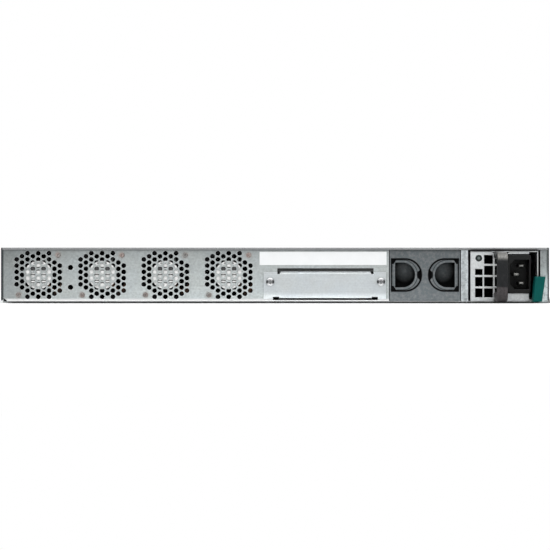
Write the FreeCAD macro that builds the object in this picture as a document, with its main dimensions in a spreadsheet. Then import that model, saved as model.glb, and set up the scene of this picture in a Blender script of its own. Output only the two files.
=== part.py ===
import FreeCAD, Part
import Sketcher
import math
import os

# Rack-mounted network switch, one rack unit high, with a pluggable power supply.
# Frame: +Z up, X across the width, origin at the middle of the underside.
# -Y is the fan and power side, +Y is the port side with the rack ears.
# All lengths in millimetres.

Vector = FreeCAD.Vector
Rotation = FreeCAD.Rotation
Constraint = Sketcher.Constraint
X_AXIS, Y_AXIS, Z_AXIS = Vector(1, 0, 0), Vector(0, 1, 0), Vector(0, 0, 1)

doc = FreeCAD.newDocument("rack_switch")
sheet = doc.addObject("Spreadsheet::Sheet", "Params")
doc.recompute()


# ------------------------------------------------------------ driven lengths
class Length:
    """A length: the formula that ties it to the sheet, and its value."""

    def __init__(self, text, value):
        self.text = text
        self.value = float(value)

    def _join(self, sign, other, value):
        return Length("(%s %s %s)" % (self.text, sign, other.text), value)

    def __add__(self, other):
        other = to_length(other)
        return self._join("+", other, self.value + other.value)

    def __radd__(self, other):
        return to_length(other) + self

    def __sub__(self, other):
        other = to_length(other)
        return self._join("-", other, self.value - other.value)

    def __mul__(self, other):
        other = to_length(other)
        return self._join("*", other, self.value * other.value)

    def __rmul__(self, other):
        return to_length(other) * self

    def __truediv__(self, other):
        other = to_length(other)
        return self._join("/", other, self.value / other.value)

    def __neg__(self):
        return Length("(0 - %s)" % self.text, -self.value)


def to_length(number):
    if isinstance(number, Length):
        return number
    return Length("(%s)" % repr(round(float(number), 6)), number)


sheet_rows = []


def dim(alias, value, note=""):
    """Put one driving dimension in the sheet."""
    sheet_rows.append(alias)
    row = str(len(sheet_rows))
    sheet.set("A" + row, alias)
    sheet.set("B" + row, repr(float(value)))
    sheet.setAlias("B" + row, alias)
    if note:
        sheet.set("C" + row, note)
    return Length("Params." + alias, value)


# ------------------------------------------------------- driving dimensions
# case
half_w = dim("half_width", 220.0, "half of the case width")
case_z = dim("case_height", 44.0, "one rack unit less its gap")
rear = dim("rear_face", -215.0, "outer face of the rear wall")
front = dim("front_face", 215.0, "outer face of the front panel")
metal = dim("sheet_thickness", 1.0, "sheet metal")
pan_half = dim("pan_half_width", 218.9, "half width of the pan inside the cover skirts")
bend_r = dim("bend_radius", 1.8, "outer bend radius, floor to rear wall")
wall_right = dim("rear_wall_right", 91.5, "right end of the rear wall, start of the supply bays")
wall_top = dim("wall_top", 42.9, "top of the pan walls")
pan_lip = dim("pan_flange_width", 8.4, "top flanges of the pan's side walls")
right_flange_x = dim("right_flange", 213.1, "right flange of the pan")
lip_z = dim("cover_lip", 42.1, "lower edge of the cover lip")
cover_screw_x = dim("cover_screw_x", 214.5, "cover screws from the middle")
vent_y = dim("vent_start", 70.0, "first side vent slot")
vent_z = dim("vent_low", 12.0)
vent_w = dim("vent_width", 2.4)
vent_h = dim("vent_height", 20.0)
vent_pitch = dim("vent_pitch", 5.0)
# fans and rear wall
grille_pitch = dim("grille_pitch", 5.0, "vertical pitch of the grille holes")
grille_col = dim("grille_column", 4.33, "column pitch of the grille holes")
grille_r = dim("grille_hole_radius", 1.95)
fan_x = [dim("fan_x_%d" % (i + 1), x) for i, x in enumerate((-190.1, -138.8, -88.0, -37.1))]
fan_z = dim("fan_height", 22.0, "fan axis above the underside")
fan_w = dim("fan_width", 40.0)
fan_d = dim("fan_depth", 28.0)
fan_bore = dim("fan_bore_radius", 19.2)
fan_screw = dim("fan_screw_offset", 16.0, "fan fixing holes from the axis")
hub_r = dim("fan_hub_radius", 11.8)
lug_x = dim("lug_x", -164.2)
lug_z = dim("lug_z", 20.1)
lug_pitch = dim("lug_pitch", 15.88)
lug_r = dim("lug_radius", 2.1)
# expansion opening and its cover
slot_x0 = dim("slot_left", 1.9, "expansion opening")
slot_x1 = dim("slot_right", 79.1)
slot_z0 = dim("slot_low", 1.9)
slot_z1 = dim("slot_high", 27.4)
plate_x0 = dim("cover_left", -9.2, "expansion cover plate")
plate_x1 = dim("cover_right", 89.1)
plate_z0 = dim("cover_low", 3.4)
plate_z1 = dim("cover_high", 23.9)
plate_t = dim("cover_plate_thickness", 0.9)
plate_screw_x = [dim("cover_screw_left", -3.9), dim("cover_screw_right", 85.0)]
plate_screw_z = dim("cover_screw_z", 16.5)
# filler of the empty bay
blank_x0 = dim("blank_left", 92.1, "filler of the empty bay")
blank_x1 = dim("blank_right", 148.8)
blank_z0 = dim("blank_low", 1.3)
blank_z1 = dim("blank_high", 41.9)
blank_d = dim("blank_depth", 35.0)
blank_wall = dim("blank_wall", 1.6)
cup_r = dim("cup_radius", 10.0, "finger cup")
cup_out = dim("cup_outer_radius", 13.2)
cup_z = dim("cup_z", 22.0)
cup_dx = dim("cup_centre_offset", 17.9, "cup centre from the middle of the filler")
cup_flat = dim("cup_flat_offset", 24.0)
cup_d = dim("cup_depth", 13.0)
flange_x0 = dim("flange_left", 149.3, "flange between the bays")
flange_x1 = dim("flange_right", 155.2)
# power supply
psu_x0 = dim("psu_left", 157.0)
psu_x1 = dim("psu_right", 211.5, "54.5 mm wide supply")
psu_z0 = dim("psu_low", 1.3)
psu_z1 = dim("psu_high", 41.3, "40 mm high supply")
psu_t = dim("psu_sheet", 0.8)
led_x = dim("psu_led_x", 163.6)
led_z = dim("psu_led_z", 35.5)
handle_x0 = dim("handle_left", 175.8)
handle_x1 = dim("handle_right", 184.4)
handle_out = dim("handle_reach", 24.0)
handle_z0 = dim("handle_low", 0.7)
handle_z1 = dim("handle_high", 40.4)
handle_t = dim("handle_grip", 5.2, "thickness of the grip and the upper leg")
inlet_x0 = dim("inlet_left", 187.1)
inlet_x1 = dim("inlet_right", 205.2)
inlet_z0 = dim("inlet_low", 7.4)
inlet_z1 = dim("inlet_high", 38.2)
inlet_z = dim("inlet_z", 22.4)
pin_pitch = dim("pin_pitch", 14.0)
latch_x = dim("latch_pin_x", 208.2)
latch_y = dim("latch_pin_y", -158.0)
latch_r = dim("latch_pin_radius", 1.2)
run_gap = dim("running_gap", 0.08, "radial clearance of shafts and pins")
# rack ears
ear_reach = dim("ear_reach", 241.3, "half of the overall width, 482.6 mm")
ear_hole_x = dim("ear_hole_x", 232.55, "half of 465.1 mm")
ear_pitch = dim("ear_hole_pitch", 31.75)
ear_slot = dim("ear_slot_length", 10.5)
ear_slot_r = dim("ear_slot_radius", 3.4)
ear_t = dim("ear_thickness", 2.0)
ear_leg = dim("ear_leg_length", 60.0)
# boards and ports
board_z = dim("board_z", 6.0, "underside of the main board")
board_t = dim("board_thickness", 1.6)
psu_board_z = dim("psu_board_z", 8.0, "underside of the supply's board")
jack_w = dim("jack_block_width", 85.4)
jack_h = dim("jack_block_height", 26.6)
jack_d = dim("jack_block_depth", 24.0)
jack_pitch = dim("jack_pitch", 14.0)
jack_open_w = dim("jack_opening_width", 11.9)
jack_open_h = dim("jack_opening_height", 8.4)
jack_open_d = dim("jack_opening_depth", 15.0)
jack_x = [dim("jack_block_x_%d" % (i + 1), x) for i, x in enumerate((-162.0, -70.0))]
sfp_x = dim("sfp_x", 22.0, "centre of the cage group")
sfp_pitch = dim("sfp_pitch", 14.25)
sfp_d = dim("sfp_depth", 50.0)
console_x = dim("console_x", 76.0)
port_out = dim("port_stand_out", 0.4, "ports beyond the front panel")
button_x = dim("button_x", 122.0)
button_z = dim("button_z", 22.0)
button_r = dim("button_radius", 2.5)
doc.recompute()

board_top = board_z + board_t
psu_board_top = psu_board_z + board_t
port_z = board_top + 0.1            # underside of the ports
port_face = front + port_out
VENTS = 22                          # slots in each side wall
COVER_SCREWS = [(cover_screw_x * side, y) for y in (-175.0, 0.0, 175.0) for side in (-1, 1)]
# fixing holes of each ear's leg: (y, z)
EAR_SCREWS = [(front - back, z) for back in (20, 45) for z in (12.0, 32.0)]

PARTS = []          # (name, object) of every piece that is written


# ---------------------------------------------------------------- primitives
def bind(obj, prop, size):
    obj.setExpression(prop, to_length(size).text)


def place(obj, x, y, z, turn):
    obj.Placement = FreeCAD.Placement(Vector(0, 0, 0), turn)
    bind(obj, ".Placement.Base.x", x)
    bind(obj, ".Placement.Base.y", y)
    bind(obj, ".Placement.Base.z", z)
    return obj


def box(name, x0, x1, y0, y1, z0, z1):
    obj = doc.addObject("Part::Box", name)
    bind(obj, "Length", to_length(x1) - x0)
    bind(obj, "Width", to_length(y1) - y0)
    bind(obj, "Height", to_length(z1) - z0)
    return place(obj, x0, y0, z0, Rotation())


# turns the +Z of a primitive onto the named axis
TURN = {"z": Rotation(), "x": Rotation(Y_AXIS, 90), "y": Rotation(X_AXIS, -90)}


def cyl(name, axis, x, y, z, radius, height):
    """A cylinder that runs from its base point along +axis."""
    obj = doc.addObject("Part::Cylinder", name)
    bind(obj, "Radius", radius)
    bind(obj, "Height", height)
    return place(obj, x, y, z, TURN[axis])


def cone(name, x, y, z, low_radius, high_radius, height):
    """An upright cone."""
    obj = doc.addObject("Part::Cone", name)
    bind(obj, "Radius1", low_radius)
    bind(obj, "Radius2", high_radius)
    bind(obj, "Height", height)
    return place(obj, x, y, z, Rotation())


def group(name, items):
    obj = doc.addObject("Part::Compound", name)
    obj.Links = items
    return obj


def fuse(name, items):
    obj = doc.addObject("Part::MultiFuse", name)
    obj.Shapes = items
    return obj


def cut(name, base, tool):
    obj = doc.addObject("Part::Cut", name)
    obj.Base = base
    obj.Tool = tool
    return obj


def fixed(name, shapes):
    """Shapes that are computed here and stored as they are."""
    obj = doc.addObject("Part::Feature", name)
    obj.Shape = Part.makeCompound(shapes)
    return obj


def finish(kind, name, base, size, pick):
    """A Part "Fillet" or "Chamfer" on the edges that pick(edge) accepts."""
    doc.recompute()
    obj = doc.addObject("Part::" + kind, name)
    obj.Base = base
    obj.Edges = [(i + 1, size, size) for i, edge in enumerate(base.Shape.Edges) if pick(edge)]
    return obj


def cross_recess(screw, i, axis, centre, start, end, reach, half_width):
    """Cross slot from start to end along an axis; centre is its place on the other two."""
    arms = []
    for letter, halves in (("a", (reach, half_width)), ("b", (half_width, reach))):
        spans = [(c - half, c + half) for c, half in zip(centre, halves)]
        spans.insert("xyz".index(axis), (start, end))
        arms.append(box("%s_r%s_%d" % (screw, letter, i), *spans[0], *spans[1], *spans[2]))
    return fuse("%s_recess_%d" % (screw, i), arms)


def node(obj, name):
    """Register a piece under its own name."""
    obj.Label = name
    PARTS.append((name, obj))


# -------------------------------------------------------------- edge pickers
def mid(edge):
    return edge.BoundBox.Center


def near(a, b, tolerance=0.02):
    return abs(a - b) < tolerance


def along(edge, axis):
    """True if a straight edge runs along the given axis."""
    if edge.Curve.TypeId != "Part::GeomLine":
        return False
    run = edge.Vertexes[-1].Point.sub(edge.Vertexes[0].Point)
    if run.Length < 1e-6:
        return False
    run.normalize()
    return abs(abs(run.dot(axis)) - 1) < 1e-6


def line_at(axis, **at):
    """Straight edges along the axis with their middle at the given coordinates."""
    return lambda edge: along(edge, axis) and all(
        near(getattr(mid(edge), key), to_length(value).value) for key, value in at.items())


def flat_at(y):
    """Edges that lie wholly in the plane of this y."""
    return lambda edge: near(mid(edge).y, y.value) and edge.BoundBox.YLength < 0.01


def circle_at(y):
    """Circular edges in the plane of this y."""
    return lambda edge: edge.Curve.TypeId == "Part::GeomCircle" and near(mid(edge).y, y.value)


# ----------------------------------------------------------- sketch outlines
def drive(sketch, kind, refs, size):
    """Add a dimension and tie it to the sheet."""
    i = sketch.addConstraint(Constraint(kind, *refs, size.value))
    sketch.setExpression("Constraints[%d]" % i, size.text)


def drive_point(sketch, geo, point, x, y):
    """Locate a point from the sketch origin."""
    drive(sketch, "DistanceX", (-1, 1, geo, point), x)
    drive(sketch, "DistanceY", (-1, 1, geo, point), y)


def closed_lines(points):
    return [Part.LineSegment(a, b) for a, b in zip(points, points[1:] + points[:1])]


def joined(geo, count):
    """Constraints that close a loop of count lines or arcs."""
    return [Constraint("Coincident", geo + i, 2, geo + (i + 1) % count, 1) for i in range(count)]


def draw_rect(sketch, x, y, width, height):
    x, y, width, height = map(to_length, (x, y, width, height))
    geo = sketch.GeometryCount
    x1, y1 = x.value + width.value, y.value + height.value
    sketch.addGeometry(closed_lines([Vector(x.value, y.value, 0), Vector(x1, y.value, 0),
                                     Vector(x1, y1, 0), Vector(x.value, y1, 0)]), False)
    sketch.addConstraint(joined(geo, 4)
                         + [Constraint("Horizontal", geo), Constraint("Horizontal", geo + 2),
                            Constraint("Vertical", geo + 1), Constraint("Vertical", geo + 3)])
    drive_point(sketch, geo, 1, x, y)
    drive(sketch, "DistanceX", (geo, 1, geo, 2), width)
    drive(sketch, "DistanceY", (geo + 1, 1, geo + 1, 2), height)


def draw_circle(sketch, x, y, radius):
    x, y, radius = map(to_length, (x, y, radius))
    geo = sketch.GeometryCount
    sketch.addGeometry(Part.Circle(Vector(x.value, y.value, 0), Z_AXIS, radius.value), False)
    drive_point(sketch, geo, 3, x, y)
    drive(sketch, "Radius", (geo,), radius)


def draw_poly(sketch, *points):
    points = [(to_length(x), to_length(y)) for x, y in points]
    geo = sketch.GeometryCount
    sketch.addGeometry(closed_lines([Vector(x.value, y.value, 0) for x, y in points]), False)
    sketch.addConstraint(joined(geo, len(points)))
    for i, (x, y) in enumerate(points):
        drive_point(sketch, geo + i, 1, x, y)


def draw_dee(sketch, flat, x, y, radius):
    """A D outline: a flat side at x = flat and a half circle about (x, y)."""
    flat, x, y, radius = map(to_length, (flat, x, y, radius))
    geo = sketch.GeometryCount
    top = Vector(x.value, y.value + radius.value, 0)
    low = Vector(x.value, y.value - radius.value, 0)
    if flat.value < x.value:
        start, end, angle = low, top, -math.pi / 2
    else:
        start, end, angle = top, low, math.pi / 2
    circle = Part.Circle(Vector(x.value, y.value, 0), Z_AXIS, radius.value)
    flat_a = Vector(flat.value, end.y, 0)
    flat_b = Vector(flat.value, start.y, 0)
    sketch.addGeometry([Part.ArcOfCircle(circle, angle, angle + math.pi),
                        Part.LineSegment(end, flat_a), Part.LineSegment(flat_a, flat_b),
                        Part.LineSegment(flat_b, start)], False)
    sketch.addConstraint(joined(geo, 4)
                         + [Constraint("Horizontal", geo + 1), Constraint("Vertical", geo + 2),
                            Constraint("Horizontal", geo + 3),
                            Constraint("Vertical", geo, 1, geo, 3),
                            Constraint("Vertical", geo, 2, geo, 3)])
    drive_point(sketch, geo, 3, x, y)
    drive(sketch, "Radius", (geo,), radius)
    drive(sketch, "DistanceX", (-1, 1, geo + 2, 1), flat)


class Piece:
    """A PartDesign body. Outlines lie in plane XY, XZ or YZ and span start to end across it.

    rects: (x, y, width, height), circles: (x, y, radius), polys: lists of (x, y),
    dees: (flat, x, y, radius), in the two axes of the plane.
    """

    def __init__(self, name):
        self.name = name
        self.body = doc.addObject("PartDesign::Body", name)
        self.count = 0

    def _add(self, kind, word):
        self.count += 1
        return self.body.newObject(kind, "%s_%s%d" % (self.name, word, self.count))

    def _sketch(self, plane, offset, rects=(), circles=(), polys=(), dees=()):
        sketch = self._add("Sketcher::SketchObject", "sketch")
        support = [f for f in self.body.Origin.OriginFeatures if f.Role == plane + "_Plane"][0]
        sketch.AttachmentSupport = [(support, "")]
        sketch.MapMode = "FlatFace"
        sketch.AttachmentOffset = FreeCAD.Placement(Vector(0, 0, offset.value), Rotation())
        sketch.setExpression("AttachmentOffset.Base.z", offset.text)
        for draw, outlines in ((draw_rect, rects), (draw_circle, circles),
                               (draw_poly, polys), (draw_dee, dees)):
            for outline in outlines:
                draw(sketch, *outline)
        return sketch

    def pad(self, plane, start, end, **outlines):
        """Fill the outlines from start to end."""
        start, end = to_length(start), to_length(end)
        # the normal of the XZ plane is -Y
        sketch = self._sketch(plane, -end if plane == "XZ" else start, **outlines)
        feature = self._add("PartDesign::Pad", "pad")
        feature.Profile = sketch
        bind(feature, "Length", end - start)

    def pocket(self, plane, start, end, **outlines):
        """Remove the outlines from start to end."""
        start, end = to_length(start), to_length(end)
        self.sketch = self._sketch(plane, -start if plane == "XZ" else end, **outlines)
        doc.recompute()
        before = self.body.Shape.Volume
        self.last = self._add("PartDesign::Pocket", "pocket")
        self.last.Profile = self.sketch
        bind(self.last, "Length", end - start)
        doc.recompute()
        if not self.body.Shape.Volume < before - 1e-3:
            raise RuntimeError("pocket removed nothing in " + self.name)

    def repeat(self, axis, pitch, count):
        """Repeat the last pocket along H_Axis or V_Axis of its sketch."""
        feature = self._add("PartDesign::LinearPattern", "pattern")
        feature.Originals = [self.last]
        feature.Direction = (self.sketch, [axis])
        bind(feature, "Length", pitch * (count - 1))
        feature.Occurrences = count
        self.body.Tip = feature

    def fillet(self, radius, pick):
        """Round the edges that pick(edge) accepts."""
        doc.recompute()
        tip = self.body.Tip
        names = ["Edge%d" % (i + 1) for i, edge in enumerate(tip.Shape.Edges) if pick(edge)]
        if not names:
            raise RuntimeError("no edge to round in " + self.name)
        feature = self._add("PartDesign::Fillet", "fillet")
        feature.Base = (tip, names)
        bind(feature, "Radius", radius)
        doc.recompute()

    def done(self):
        node(self.body, self.name)

    def done_less(self, tool):
        """Finish the piece as its body less a tool."""
        node(cut(self.name + "_cut", self.body, tool), self.name)


def side_vents(piece, half):
    """Vent slots through both side walls."""
    piece.pocket("YZ", -half - 1, half + 1, rects=[(vent_y, vent_z, vent_w, vent_h)])
    piece.repeat("H_Axis", vent_pitch, VENTS)


# ============================================================== chassis pan
pan = Piece("chassis_pan")
# rear wall with its bend into the floor
pan.pad("YZ", -pan_half, wall_right,
        polys=[[(rear, 0), (rear + 3, 0), (rear + 3, metal), (rear + metal, metal),
                (rear + metal, wall_top), (rear, wall_top)]])
pan.fillet(bend_r, line_at(X_AXIS, y=rear, z=0))
pan.fillet(bend_r - metal, line_at(X_AXIS, y=rear + metal, z=metal))
# floor, and the bay floor out to the rear face
pan.pad("XY", 0, metal,
        polys=[[(-pan_half, rear + 3), (wall_right, rear + 3), (wall_right, rear),
                (pan_half, rear), (pan_half, front - metal), (-pan_half, front - metal)]])
# side walls with their top flanges, the right one with its rear flange
pan.pad("XZ", rear + metal, front - metal,
        polys=[[(-pan_half, metal), (-pan_half + metal, metal),
                (-pan_half + metal, wall_top - metal), (-pan_half + pan_lip, wall_top - metal),
                (-pan_half + pan_lip, wall_top), (-pan_half, wall_top)],
               [(pan_half, metal), (pan_half, wall_top), (pan_half - pan_lip, wall_top),
                (pan_half - pan_lip, wall_top - metal), (pan_half - metal, wall_top - metal),
                (pan_half - metal, metal)]])
pan.pad("XY", metal, wall_top, rects=[(right_flange_x, rear, pan_half - right_flange_x, metal)])
# expansion opening with its corner reliefs
relief_z = slot_z0 + 2.4
pan.pocket("XZ", rear - 1, rear + metal + 0.5,
           polys=[[(slot_x0, slot_z1), (slot_x0, relief_z), (slot_x0 - 3.5, relief_z),
                   (slot_x0 - 3.5, slot_z0), (slot_x1 + 3.4, slot_z0),
                   (slot_x1 + 3.4, relief_z), (slot_x1, relief_z), (slot_x1, slot_z1)]])
# bend relief at the left end
pan.pocket("XZ", rear - 1, rear + 2.5,
           polys=[[(-pan_half - 1, -1), (-pan_half + 5.2, -1), (-pan_half + 4.2, 0.8),
                   (-pan_half + 1.4, 3.4), (-pan_half - 1, 3.4)]])
side_vents(pan, pan_half)

# Fan grille: column number -> its top and bottom row, one pitch apart, from the fan axis
GRILLE = {-4: (2.5, -1.5), -3: (3, -2), -2: (3.5, -3.5), -1: (3, -3), 0: (3.5, -3.5),
          1: (3, -3), 2: (3.5, -3.5), 3: (2, -3), 4: (1.5, -2.5)}


def wall_hole(x, z, radius):
    """A tool for a round hole through the rear wall."""
    x, z, radius = map(to_length, (x, z, radius))
    return Part.makeCylinder(radius.value, 3.0, Vector(x.value, rear.value - 1, z.value), Y_AXIS)


holes = []
for x in fan_x:
    for column, (top_row, bottom_row) in GRILLE.items():
        for step in range(int(top_row - bottom_row) + 1):
            holes.append(wall_hole(x + grille_col * column,
                                   fan_z + grille_pitch * (top_row - step), grille_r))
for x in fan_x:
    for side in (1, -1):
        holes.append(wall_hole(x + fan_screw * side, fan_z + fan_screw * side, 2.0))
for half in (0.5, -0.5):
    holes.append(wall_hole(lug_x, lug_z + lug_pitch * half, lug_r))
for x in plate_screw_x:
    holes.append(wall_hole(x, plate_screw_z, 1.5))
for x, y in COVER_SCREWS:
    holes.append(Part.makeCylinder(1.5, 3.0, Vector(x.value, y, 41.0), Z_AXIS))
pan.done_less(fixed("perforations", holes))

# ================================================================ top cover
skirt_z = 1.6
cover = Piece("top_cover")
cover.pad("XZ", rear, front - metal,
          polys=[[(-half_w, skirt_z), (-half_w + metal, skirt_z),
                  (-half_w + metal, case_z - metal), (half_w - metal, case_z - metal),
                  (half_w - metal, skirt_z), (half_w, skirt_z), (half_w, case_z),
                  (-half_w, case_z)]])
cover.pad("XZ", rear - metal, rear, rects=[(-half_w, lip_z, half_w * 2, case_z - lip_z)])
cover.fillet(0.8, line_at(X_AXIS, y=rear - metal, z=case_z))
cover.fillet(0.8, lambda edge: along(edge, Y_AXIS) and near(abs(mid(edge).x), half_w.value)
             and near(mid(edge).z, case_z.value))
side_vents(cover, half_w)
cover.done_less(group("cover_sinks", [
    cone("cover_sink_%d" % i, x, y, case_z - metal, 1.5, 3.0, metal + 0.001)
    for i, (x, y) in enumerate(COVER_SCREWS)]))


def cover_screw(i, x, y):
    """Countersunk screw with a cross recess."""
    shank = 3.4
    under = case_z - metal
    body = fuse("cover_screw_body_%d" % i, [
        cone("cover_screw_head_%d" % i, x, y, under, 1.5, 2.9, metal - 0.02),
        cyl("cover_screw_shank_%d" % i, "z", x, y, under - shank, 1.49, shank)])
    recess = cross_recess("cover_screw", i, "z", (x, y), case_z - 0.8, case_z,
                          reach=1.4, half_width=0.3)
    return cut("cover_screw_%d" % i, body, recess)


node(group("cover_screws", [cover_screw(i, x, y) for i, (x, y) in enumerate(COVER_SCREWS)]),
     "cover_screws")

# ============================================================== front panel
panel = Piece("front_panel")
panel.pad("XZ", front - metal, front, rects=[(-half_w, 0.2, half_w * 2, case_z - 0.2)])
# lower and upper flange turned back behind the panel
panel.pad("XY", metal, metal * 2, rects=[(-half_w + 3, front - 11, half_w * 2 - 6, 10)])
panel.pad("XY", wall_top - metal * 2, wall_top - metal,
          rects=[(-half_w + 14, front - 11, half_w * 2 - 28, 10)])
cutout_z = port_z - 0.2
panel.pocket("XZ", front - 1.5, front + 1,
             rects=[(x - jack_w / 2 - 0.3, cutout_z, jack_w + 0.6, jack_h + 0.5) for x in jack_x]
             + [(sfp_x - sfp_pitch * 2 - 0.7, cutout_z, sfp_pitch * 4 + 1.4, 10.8),
                (console_x - 8.3, cutout_z, 16.6, 14.1)],
             circles=[(button_x, button_z, button_r + 0.2)])
# two rows of intake slots at the +X end of the panel
panel.pocket("XZ", front - 1.5, front + 1,
             rects=[(140.0, z, 2.6, 12.0) for z in (8.0, 24.0)])
panel.repeat("H_Axis", 5.0, 15)

# status lights (x, z): two per jack column, one per cage, three by the button
LIGHTS = [(x + jack_pitch * (k - 2.5) + offset, 37.6)
          for x in jack_x for k in range(6) for offset in (-3.2, 3.2)]
LIGHTS += [(sfp_x + sfp_pitch * (k - 1.5), 22.4) for k in range(4)]
LIGHTS += [(106.0, 16.0 + 6.0 * k) for k in range(3)]


def light_boxes(name, half_x, half_z, y0, y1):
    """One box at each status light."""
    return [box("%s_%d" % (name, i), x - half_x, x + half_x, y0, y1, z - half_z, z + half_z)
            for i, (x, z) in enumerate(LIGHTS)]


panel.done_less(group("light_windows",
                      light_boxes("light_window", 1.2, 0.8, front - 2, front + 1)))
node(group("status_lenses", light_boxes("status_lens", 1.15, 0.75, front - 4, front + 0.3)),
     "status_lenses")

# ================================================================ rack ears
for word, side in (("left", -1), ("right", 1)):
    ear = Piece("rack_ear_" + word)
    inner_x = half_w * side
    leg_x = inner_x + ear_t * side
    # angle section: flange across the front, leg back along the side
    section = [(inner_x, front - ear_leg), (leg_x, front - ear_leg), (leg_x, front - ear_t),
               (ear_reach * side, front - ear_t), (ear_reach * side, front), (inner_x, front)]
    ear.pad("XY", 0.4, 43.6, polys=[section[::side]])
    # rack slots: a straight middle, then a round at each end
    slot_x = ear_hole_x * side
    slot_end = ear_slot / 2 - ear_slot_r
    ear.pocket("XZ", front - 3, front + 1,
               rects=[(slot_x - slot_end, case_z / 2 + ear_pitch / 2 * k - ear_slot_r,
                       slot_end * 2, ear_slot_r * 2) for k in (-1, 1)])
    for k in (-1, 1):
        for end in (-1, 1):
            ear.pocket("XZ", front - 3, front + 1,
                       circles=[(slot_x + slot_end * end, case_z / 2 + ear_pitch / 2 * k,
                                 ear_slot_r)])
    ear.pocket("YZ", inner_x - 4, inner_x + 4, circles=[(y, z, 1.6) for y, z in EAR_SCREWS])
    ear.fillet(3.0, line_at(Y_AXIS, x=ear_reach * side))
    ear.fillet(0.6, line_at(Z_AXIS, y=front - ear_leg))
    ear.done()


def ear_screw(i, side, y, z):
    """Flat-headed screw through an ear's leg, with a cross recess."""
    head, shank = 1.6, 2
    seat = (half_w + ear_t) * side
    if side > 0:
        head_x, shank_x, recess_x = seat, seat - shank, seat + 0.8
    else:
        head_x, shank_x, recess_x = seat - head, seat, seat - 1.7
    body = fuse("ear_screw_body_%d" % i, [
        cyl("ear_screw_head_%d" % i, "x", head_x, y, z, 2.9, head),
        cyl("ear_screw_shank_%d" % i, "x", shank_x, y, z, 1.55, shank)])
    recess = cross_recess("ear_screw", i, "x", (y, z), recess_x, recess_x + 0.9,
                          reach=1.5, half_width=0.35)
    return cut("ear_screw_%d" % i, body, recess)


ear_places = [(side, y, z) for side in (-1, 1) for y, z in EAR_SCREWS]
node(group("ear_screws", [ear_screw(i, *at) for i, at in enumerate(ear_places)]), "ear_screws")

# ===================================================================== fans
BLADES = 7
SHAFT_R = 1.0


def fan_frame(tag, x, z, y0, width, depth, bore, hub, screw):
    """Square end flanges on a round duct, with struts and motor hub at the -Y end."""
    flanges = [box(tag + "_flange_" + letter, x - width / 2, x + width / 2, y, y + 3.5,
                   z - width / 2, z + width / 2)
               for letter, y in (("a", y0), ("b", y0 + depth - 3.5))]
    outer = fuse(tag + "_outer", flanges + [cyl(tag + "_duct", "y", x, y0, z, width / 2, depth)])
    bores = [cyl(tag + "_bore", "y", x, y0 - 1, z, bore, depth + 2)]
    for i, (a, b) in enumerate(((1, 1), (-1, 1), (-1, -1), (1, -1))):
        bores.append(cyl("%s_fix_%d" % (tag, i), "y", x + screw * a, y0 - 1, z + screw * b,
                         1.75, depth + 2))
    shell = cut(tag + "_shell", outer, group(tag + "_bores", bores))
    solids = [shell, cyl(tag + "_motor", "y", x, y0 + 0.3, z, hub, 2.7),
              cyl(tag + "_tube", "y", x, y0 + 2.9, z, 3.2, depth - 9)]
    half_strut = 0.8
    for i in range(4):
        strut = doc.addObject("Part::Box", "%s_strut_%d" % (tag, i))
        bind(strut, "Length", bore + 0.3)
        bind(strut, "Width", 2.4)
        bind(strut, "Height", half_strut * 2)
        degrees = 45.0 + 90.0 * i
        angle = math.radians(degrees)
        # the strut's own x runs out from the hub; it is centred on its height
        solids.append(place(strut, x + half_strut * math.sin(angle), y0 + 0.5,
                            z - half_strut * math.cos(angle), Rotation(Y_AXIS, -degrees)))
    return cut(tag + "_frame_cut", fuse(tag + "_frame_all", solids),
               cyl(tag + "_bearing", "y", x, y0 + 2.0, z, SHAFT_R + run_gap, depth))


def fan_blades(tag, x, z, y0, depth, bore, hub):
    """Blades: a curved section drawn outwards and trimmed to the tip radius."""
    root, tip = hub.value - 0.2, bore.value - 0.7
    start, end = y0.value + 4.4, y0.value + depth.value - 2.2
    sweep, camber, half_thickness, steps = 0.357 * tip, 1.6, 0.5, 8
    left, right = [], []
    for k in range(steps + 1):
        f = k / steps
        y = start + (end - start) * f
        middle = (f - 0.5) * sweep + camber * math.sin(math.pi * f)
        half = half_thickness * (1.0 - 0.5 * abs(2 * f - 1))
        left.append(Vector(middle - half, y, 0))
        right.append(Vector(middle + half, y, 0))
    section = Part.Face(Part.makePolygon(left + right[::-1] + [left[0]]))
    blade = section.extrude(Vector(0, 0, tip - root + 3.0))
    blade.translate(Vector(0, 0, root - 1.0))
    blade = blade.common(Part.makeCylinder(tip, depth.value, Vector(0, y0.value, 0), Y_AXIS))
    blades = []
    for k in range(BLADES):
        turned = blade.copy()
        turned.rotate(Vector(0, 0, 0), Y_AXIS, 360.0 * k / BLADES)
        turned.translate(Vector(x.value, 0, z.value))
        blades.append(turned)
    return fixed(tag + "_blades", blades)


def fan(tag, frame_name, rotor_name, x, z, y0, width, depth, bore, hub, screw):
    """A fan that blows along Y from y0: its frame, and its rotor of cup, shaft and blades."""
    x, z, y0, width, depth, bore, hub, screw = map(
        to_length, (x, z, y0, width, depth, bore, hub, screw))
    node(fan_frame(tag, x, z, y0, width, depth, bore, hub, screw), frame_name)
    cup = cut(tag + "_cup", cyl(tag + "_cup_out", "y", x, y0 + 3.6, z, hub + 0.3, depth - 4.6),
              cyl(tag + "_cup_in", "y", x, y0 + 3.0, z, hub - 1.0, depth - 5.6))
    shaft = cyl(tag + "_shaft", "y", x, y0 + 4.0, z, SHAFT_R, depth - 5.5)
    blades = fan_blades(tag, x, z, y0, depth, bore, hub)
    node(fuse(tag + "_rotor_all", [cup, shaft, blades]), rotor_name)


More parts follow.
